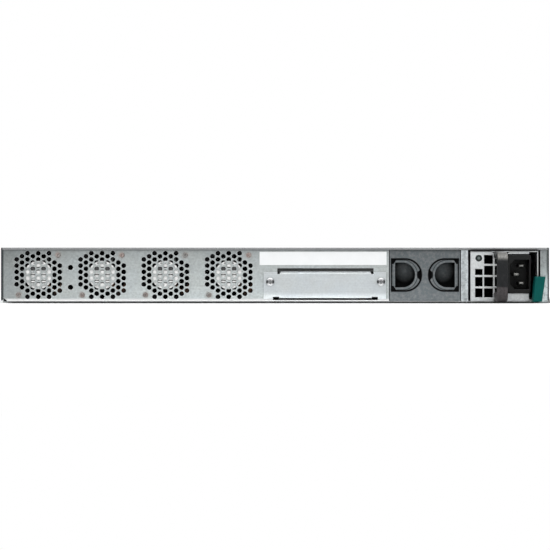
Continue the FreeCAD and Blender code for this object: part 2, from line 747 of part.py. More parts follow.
labels, fan_screws = [], []
for i, x in enumerate(fan_x):
    y0 = rear + metal
    fan("fan%d" % (i + 1), "fan_frame_%d" % (i + 1), "fan_rotor_%d" % (i + 1),
        x, fan_z, y0, fan_w, fan_d, fan_bore, hub_r, fan_screw)
    labels.append(cyl("hub_sticker_%d" % i, "y", x, y0 + 0.2, fan_z, 11.3, 0.1))
    for side in (1, -1):
        name = "_%d_%d" % (i, side)
        at_x, at_z = x + fan_screw * side, fan_z + fan_screw * side
        fan_screws.append(fuse("fan_screw" + name, [
            cyl("fan_screw_head" + name, "y", at_x, rear - 0.1, at_z, 1.98, metal + 0.1),
            cyl("fan_screw_shank" + name, "y", at_x, y0, at_z, 1.7, 9)]))
node(group("fan_hub_labels", labels), "fan_hub_labels")
node(group("fan_screws", fan_screws), "fan_screws")

# =============================================== ground nuts and blank label
nuts = []
for i, half in enumerate((0.5, -0.5)):
    z = lug_z + lug_pitch * half
    nuts.append(cut("ground_nut_%d" % i,
                    cyl("ground_nut_out_%d" % i, "y", lug_x, rear + metal, z, 3.6, 4.0),
                    cyl("ground_nut_in_%d" % i, "y", lug_x, rear, z, lug_r, 7.0)))
node(group("ground_nuts", nuts), "ground_nuts")
node(box("blank_label", -12.4, 89.6, rear - 0.12, rear, 30.0, 40.7), "blank_label")

# ========================================================= expansion cover
tab_low, tab_high = plate_z0 - 0.6, plate_z1 + 0.5     # edges of the two end tabs
notch_low, notch_high = plate_z0 + 1.2, plate_z1 - 1.2
plate = Piece("expansion_cover")
plate.pad("XZ", rear - plate_t, rear,
          polys=[[(plate_x0, tab_low), (slot_x0 - 3.6, tab_low), (slot_x0 - 3.6, notch_low),
                  (slot_x0 + 1.4, notch_low), (slot_x0 + 1.4, plate_z0),
                  (slot_x1 - 1.4, plate_z0), (slot_x1 - 1.4, notch_low),
                  (slot_x1 + 3.5, notch_low), (slot_x1 + 3.5, tab_low), (plate_x1, tab_low),
                  (plate_x1, tab_high), (slot_x1, tab_high), (slot_x1, notch_high),
                  (slot_x1 - 2, notch_high), (slot_x1 - 2, plate_z1), (slot_x0 + 2, plate_z1),
                  (slot_x0 + 2, notch_high), (slot_x0, notch_high), (slot_x0, tab_high),
                  (plate_x0, tab_high)]])
# the plate's lower and upper edges turn inwards through the opening
slot_w = slot_x1 - slot_x0
plate.pad("XZ", rear, rear + 6, rects=[(slot_x0 + 1.4, plate_z0, slot_w - 2.8, plate_t)])
plate.pad("XZ", rear, rear + 6, rects=[(slot_x0 + 2, plate_z1 - plate_t, slot_w - 4, plate_t)])
plate.fillet(0.8, lambda edge: along(edge, X_AXIS) and edge.Length > 60
             and near(mid(edge).y, rear.value - plate_t.value))
plate.pocket("XZ", rear - 1.5, rear + 0.5, circles=[(x, plate_screw_z, 1.7) for x in plate_screw_x])
plate.done()


def expansion_screw(i, x):
    """Round-headed screw with a cross recess."""
    head = 2.2
    head_y = rear - plate_t - head
    body = fuse("exp_screw_body_%d" % i, [
        cyl("exp_screw_head_%d" % i, "y", x, head_y, plate_screw_z, 3.25, head),
        cyl("exp_screw_shank_%d" % i, "y", x, rear - 1.2, plate_screw_z, 1.48, 8)])
    recess = cross_recess("exp_screw", i, "y", (x, plate_screw_z), rear - 4, rear - 1.9,
                          reach=1.8, half_width=0.4)
    return finish("Fillet", "exp_screw_%d" % i, cut("exp_screw_cut_%d" % i, body, recess), 1.1,
                  circle_at(head_y))


node(group("expansion_screws", [expansion_screw(i, x) for i, x in enumerate(plate_screw_x)]),
     "expansion_screws")

# ================================================ walls beside the supply bays
partition = Piece("bay_partition")
partition.pad("XZ", rear + metal * 2, 12.0,
              polys=[[(81.5, metal), (89.5, metal), (89.5, 42.0), (88.5, 42.0),
                      (88.5, metal * 2), (81.5, metal * 2)]])
partition.done()

flange = Piece("bay_flange")
flange.pad("XY", metal, 42.0,
           polys=[[(flange_x0, rear), (flange_x1, rear), (flange_x1, rear + metal),
                   (153.0, rear + metal), (153.0, 9.0), (152.0, 9.0), (152.0, rear + metal),
                   (flange_x0, rear + metal)]])
flange.fillet(0.5, line_at(Z_AXIS, y=rear))
flange.done()

# ==================================================== filler of the empty bay
# Two D-shaped finger cups, round sides towards the middle. Wedge outlines are
# (x away from the middle of the filler, z).
CROWN_WEDGE = [(0.2, -4.4), (0.2, 4.4), (1.2, 4.4), (2.9, 2.6), (2.9, -2.6), (1.2, -4.4)]
CORNER_WEDGE = [(-0.1, -0.1), (-5.0, -0.1), (-3.6, -2.2), (-2.2, -4.4), (-0.1, -4.4)]
blank_mid = (blank_x0 + blank_x1) / 2
blank_back = rear + blank_d
step_flat, step_dx = cup_flat + 3.4, cup_dx - 2.1      # crescent step round each cup
blank = Piece("psu_blank")
blank.pad("XZ", rear, blank_back,
          rects=[(blank_x0, blank_z0, blank_x1 - blank_x0, blank_z1 - blank_z0)])
blank.pocket("XZ", rear + 3, blank_back + 1,
             rects=[(blank_x0 + blank_wall, blank_z0 + blank_wall,
                     blank_x1 - blank_x0 - blank_wall * 2,
                     blank_z1 - blank_z0 - blank_wall * 2)])
# backs of the cups
blank.pad("XZ", rear + 2.5, rear + 15,
          dees=[(blank_mid + (cup_flat + 1.5) * side, blank_mid + cup_dx * side, cup_z,
                 cup_r + 1.4) for side in (-1, 1)])
for side in (-1, 1):
    blank.pocket("XZ", rear - 1, rear + 0.7,
                 dees=[(blank_mid + step_flat * side, blank_mid + step_dx * side, cup_z,
                        cup_out)])
# raised rim, standing on the step
for side in (-1, 1):
    blank.pad("XZ", rear + 0.1, rear + 0.8,
              dees=[(blank_mid + (cup_flat + 1.7) * side, blank_mid + cup_dx * side, cup_z,
                     cup_r + 1.7)])
for side in (-1, 1):
    blank.pocket("XZ", rear - 1, rear + cup_d,
                 dees=[(blank_mid + cup_flat * side, blank_mid + cup_dx * side, cup_z, cup_r)])
blank.fillet(4.0, flat_at(rear + cup_d))
# deep outline of the step, with the wedge at the crown and the corner pockets
for side in (-1, 1):
    flat_x = blank_mid + step_flat * side
    centre_x = blank_mid + step_dx * side
    blank.pocket("XZ", rear - 1, rear + 2.4,
                 dees=[(flat_x, centre_x, cup_z, cup_out),
                       (flat_x - 0.9 * side, centre_x, cup_z, cup_out - 0.9)])
    crown_x = centre_x - cup_out * side
    # a mirrored outline is listed backwards, so that it keeps its direction
    wedge = [(crown_x + x * side, cup_z + z) for x, z in CROWN_WEDGE]
    blank.pocket("XZ", rear - 1, rear + 2.4, polys=[wedge[::-side]])
    for k in (-1, 1):
        corner_z = cup_z + cup_out * k
        wedge = [(flat_x + x * side, corner_z + z * k) for x, z in CORNER_WEDGE]
        blank.pocket("XZ", rear - 1, rear + 2.4, polys=[wedge[::side * k]])
blank.done()

# ===================================================== power supply enclosure
case = Piece("psu_case")
case.pad("XY", psu_z0, psu_z1 - psu_t,
         rects=[(psu_x0, rear + psu_t, psu_x1 - psu_x0, -rear - psu_t)])
case.pocket("XY", psu_z0 + psu_t, psu_z1,
            rects=[(psu_x0 + psu_t, rear - 1, psu_x1 - psu_x0 - psu_t * 2, -rear + 1 - psu_t)])
# slot for the card edge, catch window, end vents
case.pocket("XZ", -3.0, 1.0, rects=[(164.6, 7.4, 39.3, 2.8)])
case.pocket("YZ", psu_x1 - 2, psu_x1 + 1, rects=[(-207.0, 3.4, 14.0, 14.2)])
case.pocket("XZ", -3.0, 1.0, rects=[(162.0, 16.0, 3.4, 20.0)])
case.repeat("H_Axis", 5.0, 9)
# posts under the board
case.pad("XY", psu_z0, psu_board_z,
         circles=[(x, y, 2.0) for y in (-112.0, -8.0) for x in (163.0, 205.0)])
case.done()
node(box("psu_lid", psu_x0, psu_x1, rear + psu_t, 0.0, psu_z1 - psu_t, psu_z1), "psu_lid")

# face plate, open on the right round the inlet
face = Piece("psu_faceplate")
face.pad("XZ", rear, rear + psu_t,
         polys=[[(psu_x0, psu_z0), (204.0, psu_z0), (204.0, 7.2), (inlet_x0 - 0.2, 7.2),
                 (inlet_x0 - 0.2, 38.9), (204.0, 38.9), (204.0, 40.5), (188.2, 40.5),
                 (186.6, 38.9), (178.2, 38.9), (171.8, 41.1), (psu_x0, 41.1)]])
face.fillet(2.2, lambda edge: along(edge, Y_AXIS) and near(mid(edge).x, psu_x0.value)
            and mid(edge).z > 40)
# openings: x, z, width, height
openings = [(160.7, 21.9, 6.0, 5.0), (160.7, 12.8, 6.0, 7.6), (160.7, 4.0, 6.0, 7.3)]
for x, width, top_height in ((167.9, 7.2, 7.2), (176.4, 7.0, 5.8)):
    openings += [(x, 30.9, width, top_height), (x, 21.9, width, 7.5),
                 (x, 12.8, width, 7.6), (x, 4.0, width, 7.3)]
face.pocket("XZ", rear - 1, rear + 2, rects=openings, circles=[(led_x, led_z, 2.7)])
face.done()

# ============================================================= supply handle
handle = Piece("psu_handle")
grip_y = rear - handle_out
lower_leg = handle_z0 + 7.5
handle.pad("YZ", handle_x0, handle_x1,
           polys=[[(rear, handle_z0), (grip_y, handle_z0), (grip_y, handle_z1),
                   (rear, handle_z1), (rear, handle_z1 - handle_t),
                   (grip_y + handle_t, handle_z1 - handle_t), (grip_y + handle_t, lower_leg),
                   (rear, lower_leg)]])
handle.fillet(6.5, line_at(X_AXIS, y=grip_y))
handle.fillet(3.0, line_at(X_AXIS, y=grip_y + handle_t))
# both side outlines, except where they meet the face plate
handle.fillet(1.3, lambda edge: edge.BoundBox.XLength < 0.01
              and (near(mid(edge).x, handle_x0.value) or near(mid(edge).x, handle_x1.value))
              and not near(mid(edge).y, rear.value))
handle.done()

# =============================================================== power inlet
inlet = Piece("psu_inlet")
inlet_y = rear - 1.6
inlet.pad("XZ", inlet_y, rear,
          rects=[(inlet_x0, inlet_z0, inlet_x1 - inlet_x0, inlet_z1 - inlet_z0)])
inlet.pad("XZ", rear, rear + 20.5,
          rects=[(inlet_x0 + 0.1, inlet_z - 13.6, inlet_x1 - inlet_x0 - 0.3, 27.2)])
# socket with its two left corners cut off
left, right, corner = 188.5, 204.0, 4
low, high = inlet_z - 11.9, inlet_z + 11.9
inlet.pocket("XZ", inlet_y - 1, rear + 15.5,
             polys=[[(left + corner, low), (right, low), (right, high), (left + corner, high),
                     (left, high - corner), (left, low + corner)]])
inlet.fillet(2.0, lambda edge: along(edge, Y_AXIS)
             and near(mid(edge).y, inlet_y.value + 0.8, 0.3)
             and (near(mid(edge).x, inlet_x0.value) or near(mid(edge).x, inlet_x1.value)))
inlet.fillet(0.4, flat_at(inlet_y))
# pins: x, z, extra length towards -Y
INLET_PINS = ((193.7, inlet_z, 1.2), (197.9, inlet_z + pin_pitch / 2, 0.0),
              (197.9, inlet_z - pin_pitch / 2, 0.0))


def pin_box(name, x, z, y0, y1):
    return box(name, x - 2.0, x + 2.0, y0, y1, z - 1.0, z + 1.0)


inlet.done_less(group("inlet_slots", [pin_box("inlet_slot_%d" % i, x, z, rear + 14, rear + 22)
                                      for i, (x, z, lead) in enumerate(INLET_PINS)]))
pins = []
for i, (x, z, lead) in enumerate(INLET_PINS):
    tip_y = rear + 0.4 - lead
    pins.append(finish("Chamfer", "pin_%d" % i, pin_box("pin_raw_%d" % i, x, z, tip_y, rear + 27),
                       0.6, flat_at(tip_y)))
node(group("psu_inlet_pins", pins), "psu_inlet_pins")

# ==================================================== supply light and latch
led = fuse("psu_led_all", [cyl("psu_led_stem", "y", led_x, rear - 0.3, led_z, 2.5, 7.0),
                           cyl("psu_led_flange", "y", led_x, rear + 0.9, led_z, 3.2, 1.0)])
node(finish("Fillet", "psu_led", led, 0.7, circle_at(rear - 0.3)), "psu_led")

# release latch: leaning thumb tab, arm along the right wall, catch and pivot eye
latch = Piece("psu_latch")
arm_x0, arm_x1 = latch_x - 0.6, latch_x + 0.9
latch.pad("XZ", rear - 12.0, rear - 2.2,
          polys=[[(207.6, 20.8), (205.8, 0.6), (212.9, 0.6), (215.8, 20.8)]])
latch.pad("XY", 4.0, 17.0,
          polys=[[(arm_x0, latch_y), (arm_x0, rear - 3.0), (arm_x1, rear - 3.0),
                  (arm_x1, -204.0), (212.9, -199.6), (212.9, -197.6), (arm_x1, -197.0),
                  (arm_x1, latch_y)]])
latch.pad("XY", 4.0, 17.0, circles=[(latch_x, latch_y, 2.2)])
latch.pocket("XY", 3.0, 18.0, circles=[(latch_x, latch_y, latch_r + run_gap)])
# hollow back of the tab
latch.pocket("XZ", rear - 9.4, rear - 1.0,
             polys=[[(209.9, 18.6), (208.6, 2.6), (211.4, 2.6), (213.8, 18.6)]])
latch.fillet(0.9, flat_at(rear - 12.0))
latch.done()
node(cyl("psu_latch_pin", "z", latch_x, latch_y, psu_z0 + psu_t, latch_r, 17.4), "psu_latch_pin")

# ===================================================== inside the power supply
fan("psufan", "psu_fan_frame", "psu_fan_rotor", x=180.0, z=21.3, y0=-150.0, width=38.0,
    depth=28.0, bore=18.2, hub=9.0, screw=15.6)

# board with its card edge towards +Y
psu_board = Piece("psu_board")
psu_board.pad("XY", psu_board_z, psu_board_top,
              polys=[[(159.0, -118.0), (209.0, -118.0), (209.0, -1.4), (203.4, -1.4),
                      (203.4, 8.0), (165.2, 8.0), (165.2, -1.4), (159.0, -1.4)]])
psu_board.done()

# transformer core: y and z limits of its two legs and the bridge between them
CORE = (("a", -86.0, -80.0, psu_board_top), ("b", -62.0, -56.0, psu_board_top),
        ("c", -80.0, -62.0, 28.0))
core = fuse("psu_core", [box("psu_core_" + letter, 176.0, 200.0, y0, y1, z0, 33.0)
                         for letter, y0, y1, z0 in CORE])
node(group("psu_transformer", [core, cyl("psu_winding", "y", 188.0, -79.9, 18.9, 8.8, 17.8)]),
     "psu_transformer")

# capacitors: x, y, radius, height
PSU_CAPACITORS = ((176.0, -106.0, 9.0, 26.0), (197.0, -106.0, 9.0, 26.0),
                  (180.0, -42.0, 5.0, 20.0), (192.0, -42.0, 5.0, 20.0),
                  (180.0, -28.0, 5.0, 20.0), (192.0, -28.0, 5.0, 20.0))
node(group("psu_capacitors", [cyl("psu_cap_%d" % i, "z", x, y, psu_board_top, radius, height)
                              for i, (x, y, radius, height) in enumerate(PSU_CAPACITORS)]),
     "psu_capacitors")

sink = Piece("psu_heatsink")
sink.pad("XY", psu_board_top, 34.0, rects=[(159.6, -92.0, 6.4, 82.0)])
sink.pocket("XY", 12.0, 35.0, rects=[(161.6, -90.0, 6.0, 2.4)])
sink.repeat("V_Axis", 4.0, 20)
sink.done()

# ======================================================= power distribution
node(box("power_backplane", 92.0, 213.0, 10.0, 12.0, metal, 41.0), "power_backplane")
sockets = []
for i, x in enumerate((120.4, 184.3)):
    sockets.append(cut("power_socket_%d" % i,
                       box("power_socket_out_%d" % i, x - 22, x + 22, 1.4, 10.0, 4.6, 13.0),
                       box("power_socket_in_%d" % i, x - 19.3, x + 19.3, 0.0, 8.4, 7.7, 9.9)))
node(group("power_sockets", sockets), "power_sockets")

# bus bars: out of the backplane, across to -X, and a foot down on the main board
bars = []
bar_t, bar_end_x, bar_z0, bar_z1 = 1.5, 62.0, 9.0, 17.0
for i in range(2):
    x0, y0 = 98.0 + 6 * i, 22.5 + 6 * i
    x1, y1 = x0 + bar_t, y0 + bar_t
    bars.append(fuse("bus_bar_%d" % i, [
        box("bus_a_%d" % i, x0, x1, 12.0, y1, bar_z0, bar_z1),
        box("bus_b_%d" % i, bar_end_x, x1, y0, y1, bar_z0, bar_z1),
        box("bus_c_%d" % i, bar_end_x, bar_end_x + 8.0, y0, y1, board_top, bar_z0 + 0.5)]))
node(group("bus_bars", bars), "bus_bars")

# ================================================================ main board
POSTS = [(x, y) for x in (-205.0, -110.0, -20.0, 74.0) for y in (-132.0, 16.0, 180.0)]
board = Piece("main_board")
board.pad("XY", board_z, board_top, rects=[(-214.0, -148.0, 300.0, 354.0)],
          circles=[(x, y, 1.6) for x, y in POSTS])
board.done()
standoffs, board_screws = [], []
shank_z = 2.8
for i, (x, y) in enumerate(POSTS):
    standoffs.append(cut("standoff_%d" % i,
                         cyl("standoff_out_%d" % i, "z", x, y, metal, 2.8, board_z - metal),
                         cyl("standoff_in_%d" % i, "z", x, y, 2.5, 1.28, 5.0)))
    board_screws.append(fuse("board_screw_%d" % i, [
        cyl("board_screw_head_%d" % i, "z", x, y, board_top, 2.7, 1.7),
        cyl("board_screw_shank_%d" % i, "z", x, y, shank_z, 1.25, board_top - shank_z)]))
node(group("board_standoffs", standoffs), "board_standoffs")
node(group("board_screws", board_screws), "board_screws")


def blocks(name, width, depth, height, corners):
    """Equal blocks on the main board, from the (x, y) of their low corners."""
    return [box("%s_%d" % (name, i), x, x + width, y, y + depth, board_top, board_top + height)
            for i, (x, y) in enumerate(corners)]


def heatsink(name, x, y, z, width, depth, top, pitch, count):
    """A finned block centred on (x, y), with its channels along Y."""
    base, fin = 3.5, 1.1
    x0, y0 = x - width / 2.0, y - depth / 2.0
    piece = Piece(name)
    piece.pad("XY", z, top, rects=[(x0, y0, width, depth)])
    piece.pocket("XY", z + base, top + 1, rects=[(x0 + fin, y0 - 1, pitch - fin, depth + 2)])
    piece.repeat("H_Axis", pitch, count)
    piece.done()


switch_chip_h, cpu_chip_h = 2.4, 2.0
node(group("processor_chips", [
    box("switch_chip", -87.5, -52.5, 62.5, 97.5, board_top, board_top + switch_chip_h),
    box("cpu_chip", 22.0, 42.0, 42.0, 62.0, board_top, board_top + cpu_chip_h)]),
     "processor_chips")
heatsink("switch_heatsink", x=-70.0, y=80.0, z=board_top + switch_chip_h,
         width=66.1, depth=66.0, top=32.0, pitch=3.25, count=20)
heatsink("cpu_heatsink", x=32.0, y=52.0, z=board_top + cpu_chip_h,
         width=34.1, depth=34.0, top=24.0, pitch=3.3, count=10)
node(group("board_chips",
           blocks("memory_chip", 8.0, 12.0, 1.1, [(x, 84.0) for x in (-4.0, 8.0, 24.0, 36.0)])
           + blocks("phy_chip", 16.0, 16.0, 1.4,
                    [(x, 160.0) for x in (-188.0, -150.0, -96.0, -58.0)])), "board_chips")
node(group("power_coils", blocks("power_coil", 11.0, 11.0, 6.5, (
    (-60.0, 20.0), (-76.0, 20.0), (-92.0, 20.0), (48.0, -10.0), (32.0, -10.0), (16.0, -10.0)))),
     "power_coils")
BOARD_CAPACITORS = ((-56.0, 6.0), (-70.0, 6.0), (-84.0, 6.0), (52.0, -24.0), (38.0, -24.0),
                    (24.0, -24.0), (-150.0, 40.0), (-140.0, 40.0))
node(group("board_capacitors", [cyl("board_cap_%d" % i, "z", x, y, board_top, 4.0, 9.0)
                                for i, (x, y) in enumerate(BOARD_CAPACITORS)]),
     "board_capacitors")

# ================================================== fan headers and fan leads
node(group("fan_headers", [
    cut("fan_header_%d" % i,
        box("fan_header_out_%d" % i, x - 14, x - 4, -146.0, -140.0, board_top, board_top + 7),
        box("fan_header_in_%d" % i, x - 13, x - 5, -145.0, -141.0, board_top + 2, board_top + 8))
    for i, x in enumerate(fan_x)]), "fan_headers")


def fan_lead(x):
    """One smooth cable from a fan frame to its header."""
    fan_end = (rear + metal + fan_d).value
    points = [Vector(x - 17, fan_end + 0.1, 8), Vector(x - 16, fan_end + 10, 10),
              Vector(x - 12, fan_end + 24, 24), Vector(x - 9.5, -150, 29),
              Vector(x - 9, -144.6, 26), Vector(x - 9, -143, 20), Vector(x - 9, -143, 15),
              Vector(x - 9, -143, board_top.value + 2.4)]
    path = Part.BSplineCurve()
    path.interpolate(points)
    tangent = path.tangent(path.FirstParameter)[0]
    profile = Part.Wire([Part.makeCircle(0.9, points[0], tangent)])
    return Part.Wire([path.toShape()]).makePipeShell([profile], True, True)


node(fixed("fan_leads", [fan_lead(x.value) for x in fan_x]), "fan_leads")


# ==================================================================== ports
def jack_outline(x, z, up):
    """Jack opening with its latch notch; up is 1 with the notch below, -1 above."""
    notch_x, notch_z, sill_z = 2.9, z + 1.2 * up, z + 2.8 * up
    far_z = sill_z + jack_open_h * up
    right_x = x + jack_open_w
    points = [(x, sill_z), (x + notch_x, sill_z), (x + notch_x, notch_z),
              (right_x - notch_x, notch_z), (right_x - notch_x, sill_z), (right_x, sill_z),
              (right_x, far_z), (x, far_z)]
    return points[::up]


for i, block_x in enumerate(jack_x):
    block = Piece("rj45_block_%d" % (i + 1))
    block.pad("XZ", port_face - jack_d, port_face,
              rects=[(block_x - jack_w / 2, port_z, jack_w, jack_h)])
    first_x = block_x - jack_pitch * 2.5 - jack_open_w / 2
    # lower row latches down, upper row latches up
    block.pocket("XZ", port_face - jack_open_d, front + 1,
                 polys=[jack_outline(first_x, port_z, 1),
                        jack_outline(first_x, port_z + jack_h, -1)])
    block.repeat("H_Axis", jack_pitch, 6)
    block.done()

cages = Piece("sfp_cages")
cages_x = sfp_x - sfp_pitch * 2
cages.pad("XZ", port_face - sfp_d, port_face,
          rects=[(cages_x - 0.4, port_z, sfp_pitch * 4 + 0.8, 10.3)])
cages.pocket("XZ", port_face + 0.5 - sfp_d, front + 1,
             rects=[(cages_x + 0.2, port_z + 0.5, 13.85, 9.3)])
cages.repeat("H_Axis", sfp_pitch, 4)
cages.done()

console = Piece("console_port")
console.pad("XZ", port_face - 18, port_face, rects=[(console_x - 8, port_z, 16, 13.5)])
console.pocket("XZ", port_face - jack_open_d, front + 1,
               polys=[jack_outline(console_x - jack_open_w / 2, port_z, 1)])
console.done()

# mode button: a stem through the panel with a collar behind it
stem_y, stem_length = front - 5, 6.8
button = fuse("mode_button_all", [
    cyl("mode_button_stem", "y", button_x, stem_y, button_z, button_r, stem_length),
    cyl("mode_button_collar", "y", button_x, front - 2.6, button_z, button_r + 1.2, 1.4)])
node(finish("Fillet", "mode_button", button, 0.6, circle_at(stem_y + stem_length)), "mode_button")
node(box("button_switch", button_x - 4, button_x + 4, front - 12.0, front - 6.4,
         button_z - 4, button_z + 4), "button_switch")

# ===================================================================== write
doc.recompute()
bad = [o.Name + " " + str(o.State) for o in doc.Objects
       if "Invalid" in o.State or "Error" in o.State]
if bad:
    raise RuntimeError("failed objects: " + ", ".join(bad))
for name, obj in PARTS:
    shape = obj.Shape
    if shape.isNull() or not shape.isValid() or not shape.Solids:
        raise RuntimeError("bad shape: " + name)
    if any(solid.Volume <= 0 for solid in shape.Solids):
        raise RuntimeError("inside out: " + name)
os.makedirs("parts", exist_ok=True)
for old in os.listdir("parts"):
    if old.endswith(".step"):
        os.remove(os.path.join("parts", old))
for name, obj in PARTS:
    obj.Shape.exportStep("parts/" + name + ".step")
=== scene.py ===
"""Looks and stage for a rack switch, seen from its rear.

X runs across the unit, Y from the rear panel (-Y) to the front panel (+Y), Z up. Units are metres.
Seen from the rear, four fans sit on the left (-X), then the expansion slot, the grey power supply
blank and the power supply at the right (+X). All textures run on object coordinates.
"""
import bpy
import bmesh
import math
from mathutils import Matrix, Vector


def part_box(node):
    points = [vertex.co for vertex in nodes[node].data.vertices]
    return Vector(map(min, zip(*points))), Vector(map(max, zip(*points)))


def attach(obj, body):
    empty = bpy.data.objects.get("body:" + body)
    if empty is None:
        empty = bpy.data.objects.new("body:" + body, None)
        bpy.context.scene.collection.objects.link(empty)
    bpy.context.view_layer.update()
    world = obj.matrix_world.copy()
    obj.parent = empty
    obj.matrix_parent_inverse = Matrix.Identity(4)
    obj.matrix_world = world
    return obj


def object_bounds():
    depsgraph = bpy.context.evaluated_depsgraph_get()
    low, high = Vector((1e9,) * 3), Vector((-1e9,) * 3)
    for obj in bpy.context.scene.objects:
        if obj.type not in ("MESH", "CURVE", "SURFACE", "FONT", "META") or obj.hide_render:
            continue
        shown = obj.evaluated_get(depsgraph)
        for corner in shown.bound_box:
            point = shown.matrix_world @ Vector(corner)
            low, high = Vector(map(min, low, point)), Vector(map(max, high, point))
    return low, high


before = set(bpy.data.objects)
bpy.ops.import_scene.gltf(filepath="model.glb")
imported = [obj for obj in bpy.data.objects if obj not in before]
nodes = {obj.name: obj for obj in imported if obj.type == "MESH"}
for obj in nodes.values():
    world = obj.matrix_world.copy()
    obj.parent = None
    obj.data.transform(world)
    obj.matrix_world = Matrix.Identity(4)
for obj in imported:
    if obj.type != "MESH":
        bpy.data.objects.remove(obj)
cad_lo, cad_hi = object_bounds()
scene = bpy.context.scene

# Places on the rear, shared by several materials
FIRST_FAN_X = -0.1901
FAN_PITCH = 0.0510
GLOW_PITCH = 0.05105            # pitch of the wiring glow, slightly wider than the fans'
FAN_Z = 0.022                   # height of the fan centres
RIVET_OFFSET = 0.016            # rivet from the fan centre, in x and in z


# =====================================================================
# Node graph kit
# =====================================================================
class Signal:
    """The output of a shader node. Arithmetic on it adds Math nodes."""

    def __init__(self, graph, socket):
        self.graph = graph
        self.socket = socket

    def __add__(self, other):
        return self.graph.math("ADD", self, other)

    def __sub__(self, other):
        return self.graph.math("SUBTRACT", self, other)

    def __rsub__(self, other):
        return self.graph.math("SUBTRACT", other, self)

    def __mul__(self, other):
        return self.graph.math("MULTIPLY", self, other)

    def __rmul__(self, other):
        return self.graph.math("MULTIPLY", other, self)

    def __abs__(self):
        return self.graph.math("ABSOLUTE", self)

    def remap(self, start, end, to=(0.0, 1.0), smooth=False):
        """Maps start..end to the two values of `to`, clamped."""
        inputs = {"Value": self, "From Min": start, "From Max": end,
                  "To Min": to[0], "To Max": to[1]}
        return self.graph.signal("ShaderNodeMapRange", 0, inputs, clamp=True,
                                 interpolation_type="SMOOTHSTEP" if smooth else "LINEAR")

    def below(self, limit, soft):
        """1 under the limit, 0 over it, blurred by `soft` either side."""
        return self.remap(limit - soft, limit + soft, to=(1.0, 0.0))

    def above(self, limit, soft):
        return 1.0 - self.below(limit, soft)

    def between(self, low, high, soft):
        return self.below(high, soft) * self.above(low, soft)

    def within(self, mask):
        """This factor where the mask is 1, and a neutral 1 where it is 0."""
        return (self - 1.0) * mask + 1.0

    def curve(self, stops):
        """Piecewise linear: stops are (value of the signal, result)."""
        start = stops[0][0]
        length = stops[-1][0] - start
        position = self.graph.math("MULTIPLY_ADD", self, 1 / length, -start / length)
        return self.graph.ramp(position, [((at - start) / length, (result,) * 3)
                                          for at, result in stops])


class Graph:
    """Builds nodes in a cleared node tree."""

    def __init__(self, owner):
        owner.use_nodes = True
        self.tree = owner.node_tree
        self.tree.nodes.clear()

    def put(self, socket, value):
        """Links a signal to the socket, or sets a plain value."""
        if isinstance(value, Signal):
            self.tree.links.new(value.socket, socket)
        elif socket.type == "RGBA":
            socket.default_value = (*value, 1.0)
        else:
            socket.default_value = value

    def node(self, kind, inputs, **settings):
        node = self.tree.nodes.new(kind)
        for key, value in settings.items():
            setattr(node, key, value)
        for key, value in inputs.items():
            self.put(node.inputs[key], value)
        return node

    def signal(self, kind, output=0, inputs={}, **settings):
        return Signal(self, self.node(kind, inputs, **settings).outputs[output])

    def math(self, operation, a, b=0.0, c=0.0, clamp=False):
        return self.signal("ShaderNodeMath", 0, {0: a, 1: b, 2: c},
                           operation=operation, use_clamp=clamp)

    def maximum(self, a, b):
        return self.math("MAXIMUM", a, b)

    def hypot(self, a, b):
        return self.math("SQRT", a * a + b * b)

    def ellipse(self, u, v, centre, radii):
        """Distance from the centre, 1 on the ellipse."""
        return self.hypot((u - centre[0]) * (1 / radii[0]), (v - centre[1]) * (1 / radii[1]))

    def component(self, vector, axis):
        return self.signal("ShaderNodeSeparateXYZ", axis, {0: vector})

    def ramp(self, position, stops):
        """Colour ramp: stops are (position, colour)."""
        node = self.node("ShaderNodeValToRGB", {0: position})
        elements = node.color_ramp.elements
        while len(elements) > 1:
            elements.remove(elements[-1])
        elements[0].position = stops[0][0]
        elements[0].color = (*stops[0][1], 1)
        for at, colour in stops[1:]:
            elements.new(at).color = (*colour, 1)
        return Signal(self, node.outputs[0])


